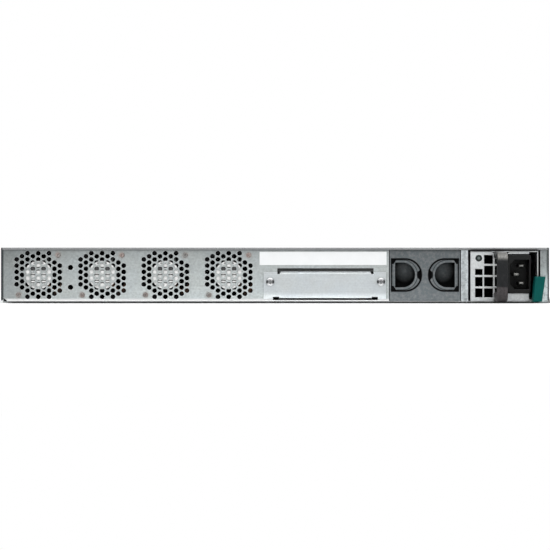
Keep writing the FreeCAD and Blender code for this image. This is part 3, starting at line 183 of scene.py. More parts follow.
class Material(Graph):
    """A Principled material driven by object coordinates."""

    def __init__(self, name):
        self.material = bpy.data.materials.new(name)
        super().__init__(self.material)
        self.output = self.node("ShaderNodeOutputMaterial", {})
        self.principled = self.node("ShaderNodeBsdfPrincipled", {})
        self.surface = Signal(self, self.principled.outputs[0])
        self.put(self.output.inputs[0], self.surface)
        self.position = self.signal("ShaderNodeTexCoord", "Object")
        self.normal = None

    def axis(self, axis):
        return self.component(self.position, axis)

    def scaled_position(self, scale, rotation=(0, 0, 0)):
        inputs = {0: self.position, "Rotation": rotation, "Scale": scale}
        return self.signal("ShaderNodeMapping", 0, inputs)

    def noise(self, scale, detail=3.0, rough=0.55, vector=None):
        inputs = {"Vector": vector or self.position, "Scale": scale,
                  "Detail": detail, "Roughness": rough}
        return self.signal("ShaderNodeTexNoise", 0, inputs)

    def drift(self, low, high, **noise):
        """Noise spread over low..high."""
        return self.noise(**noise).remap(0.3, 0.7, to=(low, high))

    def mix(self, first, second, by, mode="MIX"):
        """Goes from the first colour to the second as `by` goes from 0 to 1."""
        return self.signal("ShaderNodeMix", 2, {"Factor": by, 6: first, 7: second},
                           data_type="RGBA", blend_type=mode)

    def shade(self, colour, value):
        """Multiplies a colour by a value."""
        grey = self.signal("ShaderNodeCombineXYZ", 0, {0: value, 1: value, 2: value})
        return self.mix(colour, grey, by=1.0, mode="MULTIPLY")

    def round_edges(self, radius):
        """Rounds the edges in the shading."""
        self.normal = self.signal("ShaderNodeBevel", 0, {"Radius": radius}, samples=6)

    def soft_edges(self, radius):
        """Rounds the edges in the shading, and gives a mask that is 1 on them."""
        self.round_edges(radius)
        flat = self.signal("ShaderNodeNewGeometry", "Normal")
        dot = self.signal("ShaderNodeVectorMath", "Value", {0: self.normal, 1: flat},
                          operation="DOT_PRODUCT")
        return dot.remap(0.995, 0.80)

    def openness(self, distance, samples=6):
        """1 in the open, 0 deep in a gap."""
        return self.signal("ShaderNodeAmbientOcclusion", "AO", {"Distance": distance},
                           samples=samples)

    def bump(self, height, strength, distance):
        inputs = {"Strength": strength, "Distance": distance, "Height": height}
        if self.normal is not None:
            inputs["Normal"] = self.normal
        self.normal = self.signal("ShaderNodeBump", 0, inputs)

    def finish(self, colour, rough, metallic=0.0, **extra):
        """Fills in the Principled node; underscores in extra names stand for spaces."""
        inputs = {"Base_Color": colour, "Roughness": rough, "Metallic": metallic, **extra}
        if self.normal is not None:
            inputs["Normal"] = self.normal
        for key, value in inputs.items():
            self.put(self.principled.inputs[key.replace("_", " ")], value)
        return self.material


def scaled(colour, factor):
    return tuple(c * factor for c in colour)


def lightened(colour, gain, lift=0.0):
    return tuple(min(1, c * gain + lift) for c in colour)


def fan_offset(k, pitch=FAN_PITCH):
    """Distance in x from the nearest fan centre, signed."""
    turns = k.math("MULTIPLY_ADD", k.axis("X"), 1 / pitch, -FIRST_FAN_X / pitch + 0.5)
    return (k.math("FRACT", turns) - 0.5) * pitch


# =====================================================================
# Kinds of material
# =====================================================================
GRAIN_X = (0.04, 1.0, 1.0)      # rolling marks drawn out along x
GRAIN_Y = (1.0, 0.04, 1.0)      # rolling marks drawn out along y
BRUSHED_X = (0.06, 1.0, 1.0)    # brushing of bare metal along x
BRUSHED_Y = (1.0, 0.05, 1.0)    # and along y


def zinc(name, base, rough=0.42, blotch=0.10, grain=GRAIN_X, shade_x=None, shade_z=None,
         edge=0.35, radius=0.00035, grime=0.0, speckle=1.0, tone=None, relief=0.35,
         gloss_drift=0.08):
    """Zinc-plated sheet: cloudy, spangled and rolled, with painted highlights on the edges and
    painted shade in the seams.

    shade_x and shade_z are curves of painted light and shade for the rear face; tone adjusts the
    colour.
    """
    k = Material(name)
    edges = k.soft_edges(radius)
    cells = k.signal("ShaderNodeTexVoronoi", "Color", {"Vector": k.position, "Scale": 760.0})
    spangle = k.node("ShaderNodeSeparateColor", {0: cells})
    rolled = k.noise(scale=1400, detail=2, rough=0.5, vector=k.scaled_position(grain))
    fine = k.noise(scale=620, rough=0.7).remap(0.25, 0.75, to=(-0.13 * speckle, 0.13 * speckle))
    value = k.drift(1 - blotch, 1 + blotch * 0.5, scale=22, detail=4, rough=0.6) + fine
    value += Signal(k, spangle.outputs[0]).remap(0, 1, to=(-0.06 * speckle, 0.06 * speckle))
    value += rolled.remap(0.3, 0.7, to=(-0.035, 0.035))
    # painted light and shade on the rear face, following the shade_x and shade_z curves
    if shade_z:
        shading = k.axis("X").curve(shade_x) if shade_x else 1.0
        shading = shading * k.axis("Z").curve(shade_z)
        value *= shading.within(k.axis("Y").below(-0.2128, soft=0.0006))
    warm = tuple(c * f for c, f in zip(base, (1.0, 0.985, 0.96)))
    colour = k.shade(k.mix(base, warm, by=k.noise(scale=55).remap(0.35, 0.65)), value)
    if grime:
        dirt = k.noise(scale=70, detail=5, rough=0.7).remap(0.56, 0.75, to=(0.0, grime))
        colour = k.mix(colour, scaled(base, 0.55), by=dirt)
    # painted highlight on the edges
    colour = k.mix(colour, (0.86, 0.87, 0.88), by=edges * edge)
    # painted shade in seams and gaps
    colour = k.shade(colour, k.openness(0.0022).remap(0.15, 0.85, to=(0.45, 1.0)))
    if tone:
        colour = tone(k, colour)
    gloss = k.drift(rough - gloss_drift, rough + gloss_drift, scale=90, detail=4)
    gloss += Signal(k, spangle.outputs[1]).remap(0, 1, to=(-gloss_drift * 0.5, gloss_drift * 0.5))
    k.bump(rolled * 0.5 + k.noise(scale=900) * 0.5, strength=relief, distance=0.00006)
    return k.finish(colour, gloss, metallic=0.92)


def paint(name, base, wear, rough):
    """Fine powder coat: orange-peel grain, colour drift, dust and edges worn to metal."""
    k = Material(name)
    edges = k.soft_edges(0.0005)
    colour = k.shade(base, k.drift(0.86, 1.16, scale=30, detail=4, rough=0.6))
    dust_and_sheen = k.noise(scale=420, detail=4, rough=0.75).remap(0.60, 0.80, to=(0.0, 0.22))
    colour = k.mix(colour, lightened(base, gain=2.2, lift=0.03), by=dust_and_sheen)
    flaking = k.noise(scale=350, detail=5, rough=0.7).remap(0.35, 0.75, to=(-0.55, 0.25))
    worn = (edges + flaking).remap(0.35, 0.75) * wear
    colour = k.mix(colour, (0.45, 0.46, 0.47), by=worn)
    k.bump(k.noise(scale=1600, rough=0.6), strength=0.45, distance=0.00008)
    gloss = k.drift(rough - 0.08, rough + 0.1, scale=75, detail=4) - worn * 0.12
    return k.finish(colour, gloss, metallic=worn * 0.9)


def plastic(name, base, rough, grain=900.0, grain_height=0.00008, strength=0.5, drift=0.12,
            speck=0.0, speck_colour=None, wear=0.25, light=None, specular=0.30, hollow=None,
            tone=None, dull_dark=False):
    """Moulded plastic: fine grain, drift of the tint, edges lightened by wear and by a painted
    highlight, and scratches.

    hollow paints shade into gaps: (distance, openness when dark, openness when clear, darkest
    factor).
    dull_dark takes the shine off the dark parts.
    """
    k = Material(name)
    edges = k.soft_edges(0.0004)
    colour = k.shade(base, k.drift(1 - drift, 1 + drift, scale=40, detail=4, rough=0.6))
    if speck:
        specks = k.noise(scale=grain * 0.55, detail=4, rough=0.75)
        colour = k.mix(colour, speck_colour or lightened(base, gain=1.7, lift=0.01),
                       by=specks.remap(0.46, 0.66, to=(0.0, speck)))
    # edges lightened partly by wear and partly as a painted highlight
    rubbed_and_highlit = edges * k.noise(scale=180, detail=4, rough=0.7).remap(0.3, 0.65, to=(0.3, 1.0))
    colour = k.mix(colour, light or lightened(base, gain=1.9, lift=0.03), by=rubbed_and_highlit * wear)
    if hollow:
        # painted shade in gaps
        distance, dark_at, clear_at, darkest = hollow
        depth = k.openness(distance, samples=8).remap(dark_at, clear_at, to=(darkest, 1.0))
        colour = k.shade(colour, depth)
        specular = depth * specular
    if tone:
        colour = tone(k, colour)
    if dull_dark:
        luminance = k.signal("ShaderNodeRGBToBW", 0, {0: colour})
        specular = luminance.remap(0.006, 0.06, to=(0.08, 1.0)) * specular
    slanted = k.scaled_position((0.03, 1.0, 1.0), rotation=(0.3, 0.5, 0.4))
    scratches = k.noise(scale=700, detail=2, rough=0.5, vector=slanted)
    gloss = k.drift(rough - 0.07, rough + 0.1, scale=110, detail=4)
    gloss += scratches.remap(0.66, 0.72, to=(0.0, 0.15))
    k.bump(k.noise(scale=grain, rough=0.6), strength=strength, distance=grain_height)
    return k.finish(colour, gloss, Specular_IOR_Level=specular)


def metal(name, base, rough, brush=BRUSHED_X, amount=0.06):
    """Bare metal with turning or brushing marks."""
    k = Material(name)
    edges = k.soft_edges(0.0003)
    marks = k.noise(scale=1800, detail=2, rough=0.5, vector=k.scaled_position(brush))
    value = marks.remap(0.3, 0.7, to=(1 - amount, 1 + amount))
    colour = k.shade(base, value + k.drift(-0.08, 0.06, scale=120, detail=4))
    # painted highlight on the edges
    colour = k.mix(colour, lightened(base, gain=1.25), by=edges * 0.3)
    k.bump(marks, strength=0.3, distance=0.00003)
    return k.finish(colour, k.drift(rough - 0.08, rough + 0.12, scale=200, detail=4), metallic=1.0)


def paper(name, base, tone=None):
    """White sticker stock with a faint fibre and slight clouding."""
    k = Material(name)
    fibre = k.noise(scale=1300, detail=5, rough=0.7)
    cloud = k.noise(scale=60, detail=4, rough=0.6)
    value = cloud.remap(0.3, 0.7, to=(0.965, 1.02)) + fibre.remap(0.3, 0.7, to=(-0.015, 0.015))
    colour = k.shade(base, value)
    if tone:
        colour = tone(k, colour)
    k.bump(fibre, strength=0.2, distance=0.00002)
    return k.finish(colour, cloud.remap(0.3, 0.7, to=(0.42, 0.55)))


# =====================================================================
# Single materials
# =====================================================================
def rivet():
    """Flush copper-flashed rivet heads: patchy tint, painted shade on the rim and in the dimpled
    middle, and a painted highlight on the ring between.
    """
    k = Material("rivet_copper")
    k.round_edges(0.0003)
    across = abs(fan_offset(k)) - RIVET_OFFSET
    up = abs(k.axis("Z") - FAN_Z) - RIVET_OFFSET
    radius = k.hypot(across, up) + k.drift(-0.0006, 0.0006, scale=600)
    colour = k.mix((0.30, 0.296, 0.286), (0.39, 0.305, 0.278),
                   by=k.noise(scale=38, detail=2).remap(0.42, 0.60))
    # painted shade at the middle and the rim, painted highlight on the ring between
    colour = k.shade(colour, radius.curve([(0.0, 0.62), (0.0007, 0.70), (0.0012, 1.15),
                                           (0.0016, 1.1), (0.0020, 0.55), (0.0026, 0.6)]))
    colour = k.shade(colour, k.drift(0.55, 1.25, scale=900, detail=4, rough=0.75))
    # painted shade in gaps
    colour = k.shade(colour, k.openness(0.002).remap(0.2, 0.9, to=(0.35, 1.0)))
    k.bump(k.noise(scale=700), strength=0.6, distance=0.0002)
    return k.finish(colour, k.drift(0.38, 0.58, scale=300), metallic=0.9)


def pan_screw():
    """Polished pan heads: bright above and below, with painted dark reflections to either side and
    painted shade in the recess.
    """
    slot_x, screw_offset, screw_z = 0.04055, 0.04445, 0.0165
    k = Material("pan_screw_zinc")
    k.round_edges(0.0004)
    across = abs(abs(k.axis("X") - slot_x) - screw_offset)
    up = k.axis("Z") - screw_z
    side = across.remap(0.0013, 0.0021) * abs(up).below(0.0016, soft=0.0007)
    recess = across.below(0.0018, soft=0.0006) * abs(up).below(0.0014, soft=0.0006)
    # painted shade in the recess
    colour = k.mix((0.80, 0.81, 0.82), (0.27, 0.275, 0.28), by=recess * 0.85)
    # painted dark reflections to either side
    colour = k.mix(colour, (0.020, 0.021, 0.022), by=side * 0.96)
    colour = k.shade(colour, k.drift(0.82, 1.1, scale=900))
    # painted shade in gaps
    colour = k.shade(colour, k.openness(0.0012).remap(0.2, 0.85, to=(0.4, 1.0)))
    k.bump(k.noise(scale=1500, detail=2), strength=0.2, distance=0.00003)
    return k.finish(colour, k.drift(0.22, 0.36, scale=500, detail=2), metallic=1.0)


def board():
    """Green circuit board: fine stripes of track, turned from patch to patch."""
    k = Material("board_green")
    edges = k.soft_edges(0.0002)
    stripes = [k.signal("ShaderNodeTexWave", "Color", {"Vector": k.position, "Scale": 170.0},
                        wave_type="BANDS", bands_direction=direction) for direction in "XY"]
    turned = k.mix(*stripes, by=k.noise(scale=45, detail=1).remap(0.48, 0.52))
    tracks = turned.remap(0.55, 0.7) * k.noise(scale=32, detail=2).remap(0.42, 0.5)
    colour = k.mix((0.010, 0.075, 0.030), (0.030, 0.15, 0.06), by=tracks * 0.55)
    colour = k.mix(colour, (0.25, 0.24, 0.12), by=edges * 0.6)
    k.bump(tracks, strength=0.4, distance=0.00004)
    return k.finish(colour, k.drift(0.28, 0.42, scale=150))


def lens():
    """Clear, faintly green light guides."""
    k = Material("lens_clear")
    k.round_edges(0.0002)
    colour = k.shade((0.30, 0.36, 0.33), k.drift(0.85, 1.15, scale=500))
    k.bump(k.noise(scale=2500, detail=2), strength=0.1, distance=0.00002)
    return k.finish(colour, k.drift(0.12, 0.24, scale=300, detail=2), Transmission_Weight=0.35)


def led_window():
    """Status light: smoked ring around a milky middle."""
    centre_x, centre_z = 0.1636, 0.0355
    k = Material("led_window")
    k.round_edges(0.0003)
    radius = k.hypot(k.axis("X") - centre_x, k.axis("Z") - centre_z)
    ring = k.math("ADD", radius.remap(0.0008, 0.0014), k.drift(-0.15, 0.15, scale=700), clamp=True)
    colour = k.mix((0.13, 0.15, 0.145), (0.012, 0.018, 0.017), by=ring)
    k.bump(k.noise(scale=900, detail=2), strength=0.2, distance=0.00004)
    return k.finish(colour, k.drift(0.14, 0.28, scale=400, detail=2), Specular_IOR_Level=0.2)


# =====================================================================
# Local tones, laid over a material's colour: painted light and shade, stains, print and glimpsed
# wiring
# =====================================================================
# Painted light and shade on the rear face: (x or z, factor)
PAN_SHADE_X = [(-0.2200, 0.66), (-0.2120, 0.66), (-0.1930, 0.80), (-0.1640, 0.92),
               (-0.1160, 1.0), (-0.0200, 1.03), (0.0, 1.03), (0.1500, 1.0),
               (0.2110, 0.80), (0.2140, 0.62), (0.2200, 0.64)]
PAN_SHADE_Z = [(0.0, 1.24), (0.0060, 1.18), (0.0150, 1.06), (0.0250, 0.98),
               (0.0330, 0.90), (0.0380, 0.80), (0.0440, 0.68)]
PLATE_SHADE_Z = [(0.0, 1.5), (0.0034, 1.5), (0.0050, 1.5), (0.0068, 1.20),
                 (0.0082, 1.04), (0.0150, 1.0), (0.0250, 1.0)]


def pan_tone(k, colour):
    """Painted highlight on the lower bend over a painted shadow on the underside, painted shade on
    the top strip and at both ends, stains, and painted light on the right end.
    """
    face = k.axis("Y").below(-0.2130, soft=0.0003)
    z = k.axis("Z")
    # painted highlight along the lower bend
    bend = z.below(0.0029, soft=0.0004) * z.above(0.0009, soft=0.0002) * face
    colour = k.mix(colour, (0.86, 0.868, 0.868), by=bend)
    # painted shadow on the underside
    under = z.below(0.0008, soft=0.0002) * face
    colour = k.mix(colour, (0.012, 0.012, 0.012), by=under * 0.97)
    # painted shade on the strip under the cover's lip
    lip = z.above(0.0413, soft=0.0004) * face
    colour = k.mix(colour, (0.10, 0.10, 0.105), by=lip * 0.30)
    # painted shade at both ends of the rear face
    side = abs(k.axis("X")).above(0.2180, soft=0.0002) * face * z.above(0.0034, soft=0.0003)
    colour = k.mix(colour, (0.045, 0.055, 0.055), by=side * 0.9)
    # a dull ring of stain around two rivets of each fan: upper right and lower left
    across = fan_offset(k)
    up = z - FAN_Z
    twin = (across * up).above(0.00010, soft=0.00002)
    radius = k.hypot(abs(across) - RIVET_OFFSET, abs(up) - RIVET_OFFSET)
    radius += k.drift(-0.0007, 0.0007, scale=420)
    stain = radius.remap(0.0016, 0.0036, to=(0.62, 0.0)) * twin * face
    stain *= k.axis("X").below(-0.012, soft=0.001)
    colour = k.mix(colour, (0.345, 0.315, 0.292), by=stain)
    # painted light on the strip at the right end, low down
    right = k.axis("X").above(0.2118, soft=0.0003) * face
    lift = right * z.curve([(0.0, 1.0), (0.0060, 1.0), (0.0180, 0.85), (0.0240, 0.35),
                            (0.0300, 0.15), (0.0440, 0.1)])
    colour = k.mix(colour, (0.78, 0.86, 0.87), by=lift * 0.80)
    mottle = right * k.noise(scale=360, detail=2).remap(0.52, 0.66, to=(0.0, 0.42))
    return k.mix(colour, (0.16, 0.17, 0.18), by=mottle)


def cover_painted_shade(k, colour):
    """Painted shade on the cover's cut edge at the rear, darkest at both corners and over the
    supply.
    """
    face = k.axis("Y").below(-0.2143, soft=0.0003)
    # painted shade on the rear edge
    colour = k.mix(colour, (0.22, 0.225, 0.23), by=face * 0.88)
    # painted shade at both corners
    side = abs(k.axis("X")).above(0.2187, soft=0.0002) * face
    colour = k.mix(colour, (0.045, 0.055, 0.055), by=side * 0.95)
    # painted shade over the supply bay
    bay = k.axis("X").remap(0.1555, 0.1575) * k.axis("X").below(0.2110, soft=0.001) * face
    bay *= k.axis("Z").below(0.0430, soft=0.0004)
    return k.mix(colour, (0.035, 0.033, 0.033), by=bay * 0.75)


def psu_tone(k, colour):
    """The supply's plate: darker from x 0.1865 rightwards, a copper tinge at its end, and painted
    shade along the top.
    """
    x, z = k.axis("X"), k.axis("Z")
    inner = x.remap(0.1855, 0.1875)
    colour = k.shade(colour, inner.remap(0.0, 1.0, to=(1.0, 0.84)))
    strip = x.remap(0.2085, 0.2092) * z.above(0.0190, soft=0.0004)
    colour = k.mix(colour, (0.36, 0.295, 0.275), by=strip * 0.55)
    # painted shade along the top, under the cover
    top = z.remap(0.0401, 0.0406) * inner.remap(0.0, 1.0, to=(0.75, 0.9))
    return k.mix(colour, (0.06, 0.055, 0.053), by=top)


def flange_tone(k, colour):
    """The narrow flange between the bays: painted highlights on both edges, a darker spotted
    middle.
    """
    x = k.axis("X")
    # painted highlights on both edges, darker towards the middle
    colour = k.shade(colour, x.curve([(0.1470, 1.25), (0.1496, 1.25), (0.1506, 0.98),
                                      (0.1518, 0.90), (0.1532, 1.0), (0.1546, 1.28),
                                      (0.1570, 1.28)]))
    spots = k.noise(scale=330, detail=2, rough=0.6).remap(0.50, 0.66, to=(0.0, 0.5))
    return k.mix(colour, (0.20, 0.215, 0.24), by=spots)


def handle_painted_light(k, colour):
    """The grip: painted highlight on the top except on faces turned to -X, and a painted brownish
    reflection on the foot.
    """
    z = k.axis("Z")
    # patchy factor that breaks up the painted highlight and the painted reflection
    dust_and_sheen = k.drift(0.35, 1.0, scale=700, detail=4, rough=0.7)
    normal = k.signal("ShaderNodeNewGeometry", "Normal")
    not_left = k.component(normal, "X").remap(-0.85, -0.35)
    # painted highlight on the top bend
    top = z.curve([(0.0, 0.0), (0.0332, 0.0), (0.0348, 0.40), (0.0364, 1.0),
                   (0.0380, 0.80), (0.0395, 0.45), (0.0410, 0.15)]) * dust_and_sheen * not_left
    colour = k.mix(colour, (0.36, 0.355, 0.335), by=top)
    # painted brownish reflection on the foot
    foot = z.curve([(0.0, 0.7), (0.0100, 1.0), (0.0118, 1.0), (0.0128, 0.0), (0.0410, 0.0)])
    return k.mix(colour, (0.075, 0.067, 0.069), by=foot * dust_and_sheen)


def blank_painted_light_and_shade(k, colour):
    """Two D-shaped finger cups: painted shade in the outlines, grooves and notches, painted light
    on each floor, and painted light growing towards the bottom.
    """
    centre_x, centre_z = 0.12045, 0.0220
    cup_reach = 0.0274          # outer end of the cups, from the centre in x
    # near-black of the painted shade
    black = (0.004, 0.004, 0.0045)
    x, y, z = k.axis("X"), k.axis("Y"), k.axis("Z")
    across = abs(x - centre_x)
    up = z - centre_z

    def dee(offset):
        """Distance to a D whose round side is centred at the offset and faces inward."""
        return k.hypot(k.math("MINIMUM", across - offset, 0.0), up)

    # painted shade: dark outlines round the cups and their feet
    in_cups = across.below(cup_reach, soft=0.0002)
    foot = dee(0.0179).between(0.0117, 0.0123, soft=0.0002) * in_cups
    outline = dee(0.0158).between(0.0121, 0.0136, soft=0.0003) * in_cups
    lines = k.maximum(foot * 0.62, outline * 0.93)
    cup = across.below(cup_reach, soft=0.0001) * abs(up).below(0.0145, soft=0.0002)
    # painted shade in the grooves
    groove = y.between(-0.2139, -0.2090, soft=0.0003) * cup
    colour = k.mix(colour, black, by=k.maximum(lines, groove * 0.97))
    # painted shade in the notches
    notch = k.ellipse(across, z, centre=(0.0046, 0.0222), radii=(0.0020, 0.0031))
    colour = k.mix(colour, black, by=notch.below(1.0, soft=0.15) * 0.93)
    # painted light on each cup floor, and painted light growing towards the bottom
    cup_floor = y.above(-0.2095, soft=0.002) * cup
    light = k.ellipse(across, z, centre=(0.0155, 0.0255), radii=(0.0080, 0.0090))
    value = light.remap(0.10, 1.10, to=(1.05, 0.05)).within(cup_floor)
    value *= z.curve([(0.0, 1.42), (0.0080, 1.28), (0.0220, 1.12), (0.0320, 1.0),
                      (0.0440, 0.92)])
    return k.shade(colour, value)


def copper_glow(k, colour):
    """Motor wiring glimpsed low on the right of each fan."""
    spot = k.ellipse(fan_offset(k, GLOW_PITCH), k.axis("Z"),
                     centre=(0.0125, 0.0125), radii=(0.0065, 0.0055))
    patches = k.noise(scale=420).remap(0.4, 0.6, to=(0.15, 0.9))
    glow = spot.remap(0.3, 1.2, to=(1.0, 0.0)) * patches
    return k.mix(colour, (0.13, 0.060, 0.028), by=glow)


# Bars on the hub stickers: (centre z, half height, half width)
HUB_BARS = [(0.0271, 0.0014, 0.0072), (0.0222, 0.00035, 0.0092), (0.0176, 0.00025, 0.0060),
            (0.0158, 0.00025, 0.0068), (0.0316, 0.0003, 0.0040)]
BAR_BLUR = 0.0002


def hub_tone(k, colour):
    """Plain dark bars and a shaded rim."""
    z = k.axis("Z")
    across = abs(fan_offset(k))
    printed = None
    for centre, half_height, half_width in HUB_BARS:
        bar = abs(z - centre).remap(half_height, half_height + BAR_BLUR, to=(1.0, 0.0))
        bar *= across.remap(half_width, half_width + BAR_BLUR, to=(1.0, 0.0))
        printed = k.maximum(printed, bar) if printed else bar
    colour = k.mix(colour, (0.02, 0.02, 0.022), by=printed * 0.96)
    return k.shade(colour, k.openness(0.0016, samples=8).remap(0.30, 0.85, to=(0.45, 1.06)))


# =====================================================================
# Palette: each material with the pieces that wear it
# =====================================================================
material_of = {}


def use(material, *pieces):
    for piece_name in pieces:
        material_of[piece_name] = material
    return material


def each_fan(prefix):
    return [f"{prefix}_{i}" for i in range(1, 5)]


use(zinc("zinc_pan", (0.50, 0.542, 0.548), edge=0.55, radius=0.00050, shade_x=PAN_SHADE_X,
         shade_z=PAN_SHADE_Z, tone=pan_tone), "chassis_pan")
use(zinc("zinc_cover", (0.55, 0.567, 0.575), rough=0.41, blotch=0.05, grain=GRAIN_Y,
         speckle=0.45, tone=cover_painted_shade, relief=0.10, gloss_drift=0.03), "top_cover")
zinc_plate = use(zinc("zinc_plate", (0.615, 0.658, 0.680), rough=0.40, blotch=0.06,
                      shade_z=PLATE_SHADE_Z, speckle=0.5), "expansion_cover")
use(zinc("zinc_bright", (0.70, 0.73, 0.745), rough=0.38, blotch=0.08, edge=0.2, speckle=0.9,
         tone=psu_tone), "psu_faceplate")
use(zinc("zinc_flange", (0.60, 0.65, 0.67), blotch=0.30, speckle=1.5, tone=flange_tone),
    "bay_flange")
use(zinc("zinc_case", (0.60, 0.62, 0.63), rough=0.40, grain=GRAIN_Y, grime=0.25),
    "bay_partition", "psu_case", "psu_lid")
POWDER_GREY = (0.035, 0.038, 0.042)
use(paint("front_powder", POWDER_GREY, wear=0.35, rough=0.5), "front_panel")
use(paint("ear_powder", POWDER_GREY, wear=0.6, rough=0.48), "rack_ear_left", "rack_ear_right")
use(metal("screw_zinc", (0.74, 0.75, 0.76), rough=0.26), "board_screws")
use(metal("screw_dark", (0.20, 0.20, 0.21), rough=0.35), "ear_screws")
use(metal("screw_cover", (0.27, 0.27, 0.275), rough=0.33), "cover_screws")
use(rivet(), "fan_screws")
use(pan_screw(), "expansion_screws")
use(metal("pin_nickel", (0.24, 0.24, 0.23), rough=0.36, brush=BRUSHED_Y, amount=0.35),
    "psu_inlet_pins", "psu_latch_pin")
use(metal("brass_insert", (0.70, 0.55, 0.28), rough=0.32), "ground_nuts", "board_standoffs")
use(metal("bus_copper", (0.78, 0.42, 0.27), rough=0.30), "bus_bars")
contact_gold = metal("contact_gold", (0.86, 0.66, 0.30), rough=0.22)
use(metal("heatsink_alu", (0.72, 0.73, 0.74), rough=0.38, brush=BRUSHED_Y),
    "psu_heatsink", "switch_heatsink", "cpu_heatsink")
use(metal("cage_nickel", (0.72, 0.72, 0.70), rough=0.28, brush=(1.0, 0.06, 1.0)), "sfp_cages")
use(plastic("black_frame", (0.0035, 0.0035, 0.004), rough=0.55, wear=0.08, specular=0.12),
    "button_switch", "fan_headers", "power_sockets", "psu_fan_frame")
use(plastic("fan_frame_black", (0.0032, 0.0032, 0.0036), rough=0.6, wear=0.0, specular=0.08,
            tone=copper_glow), *each_fan("fan_frame"))
use(plastic("rotor_black", (0.008, 0.008, 0.009), rough=0.38, grain_height=0.00003, wear=0.15,
            specular=0.2), "psu_fan_rotor", *each_fan("fan_rotor"))
use(plastic("filler_grey", (0.098, 0.113, 0.119), rough=0.62, grain=700, grain_height=0.00016,
            strength=0.8, drift=0.14, speck=0.6, speck_colour=(0.20, 0.20, 0.205), wear=0.20,
            light=(0.26, 0.27, 0.28), specular=0.25, hollow=(0.0020, 0.25, 0.80, 0.03),
            tone=blank_painted_light_and_shade, dull_dark=True), "psu_blank")
use(plastic("handle_black", (0.0125, 0.0135, 0.0145), rough=0.45, grain=1000,
            grain_height=0.00014, strength=0.8, speck=0.35, speck_colour=(0.035, 0.035, 0.036),
            wear=0.1, specular=0.15, tone=handle_painted_light), "psu_handle")
use(plastic("inlet_black", (0.0075, 0.0080, 0.0080), rough=0.4, grain_height=0.00004, wear=0.12,
            specular=0.22, hollow=(0.004, 0.1, 0.8, 0.35)), "psu_inlet")
use(plastic("latch_teal", (0.0010, 0.074, 0.066), rough=0.45, grain=700, grain_height=0.00010,
            wear=0.2, light=(0.02, 0.20, 0.17), specular=0.09), "psu_latch")
use(plastic("ferrite_dark", (0.045, 0.045, 0.05), rough=0.7, speck=0.4),
    "psu_transformer", "power_coils")
use(plastic("capacitor_sleeve", (0.02, 0.022, 0.045), rough=0.35, grain_height=0.00002),
    "psu_capacitors", "board_capacitors")
use(plastic("chip_black", (0.02, 0.02, 0.021), rough=0.6, grain=2400, grain_height=0.00003),
    "processor_chips", "board_chips")
use(plastic("lead_black", (0.02, 0.02, 0.02), rough=0.5, grain_height=0.00004), "fan_leads")
use(plastic("jack_black", (0.016, 0.016, 0.018), rough=0.45, wear=0.2),
    "rj45_block_1", "rj45_block_2", "console_port")
use(plastic("button_grey", (0.42, 0.43, 0.44), rough=0.45), "mode_button")
use(board(), "psu_board", "main_board", "power_backplane")
use(paper("label_white", (0.77, 0.785, 0.79)), "blank_label")
use(paper("hub_sticker", (0.97, 0.97, 0.96), tone=hub_tone), "fan_hub_labels")
use(lens(), "status_lenses")
use(led_window(), "psu_led")

for name, node_object in nodes.items():
    if not node_object.material_slots:
        node_object.data.materials.append(material_of[name])
    for material_slot in node_object.material_slots:
        material_slot.material = material_of[name]


# =====================================================================
# Added pieces
# =====================================================================
def piece(name, bm, material):
    """Turns the mesh into a smooth-shaded object that rides on the chassis."""
    mesh = bpy.data.meshes.new(name)
    bmesh.ops.recalc_face_normals(bm, faces=bm.faces[:])
    bm.to_mesh(mesh)
    bm.free()
    ob = bpy.data.objects.new(name, mesh)
    scene.collection.objects.link(ob)
    mesh.materials.append(material)
    for face in mesh.polygons:
        face.use_smooth = True
    mesh.set_sharp_from_angle(angle=math.radians(30.0))
    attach(ob, "chassis")


def sweep(bm, points, radius, segments):
    """A round wire along points that never run straight up."""
    points = [Vector(p) for p in points]
    rings = []
    for i, point in enumerate(points):
        along = (points[min(i + 1, len(points) - 1)] - points[max(i - 1, 0)]).normalized()
        side = along.cross(Vector((0, 0, 1))).normalized()
        other = along.cross(side).normalized()
        ring = []
        for j in range(segments):
            turn = 2 * math.pi * j / segments
            ring.append(bm.verts.new(point + side * (radius * math.cos(turn))
                                     + other * (radius * math.sin(turn))))
        rings.append(ring)
    for near, far in zip(rings, rings[1:]):
        for j in range(segments):
            following = (j + 1) % segments
            bm.faces.new((near[j], near[following], far[following], far[j]))
    bm.faces.new(rings[0][::-1])
    bm.faces.new(rings[-1])


JACKS_PER_ROW = 6
JACK_PITCH = 0.014
JACK_INSET = 0.0028 + 0.0084    # contact height from the block's top or bottom
CONTACTS_PER_JACK = 8
CONTACT_PITCH = 0.00102
CONTACT_RADIUS = 0.00020
# Contact path: (depth behind the jack's front face, rise towards the block's near edge)
CONTACT_PATH = [(0.0025, 0.0002), (0.0032, 0.0006), (0.009, 0.0030), (0.0135, 0.0044)]


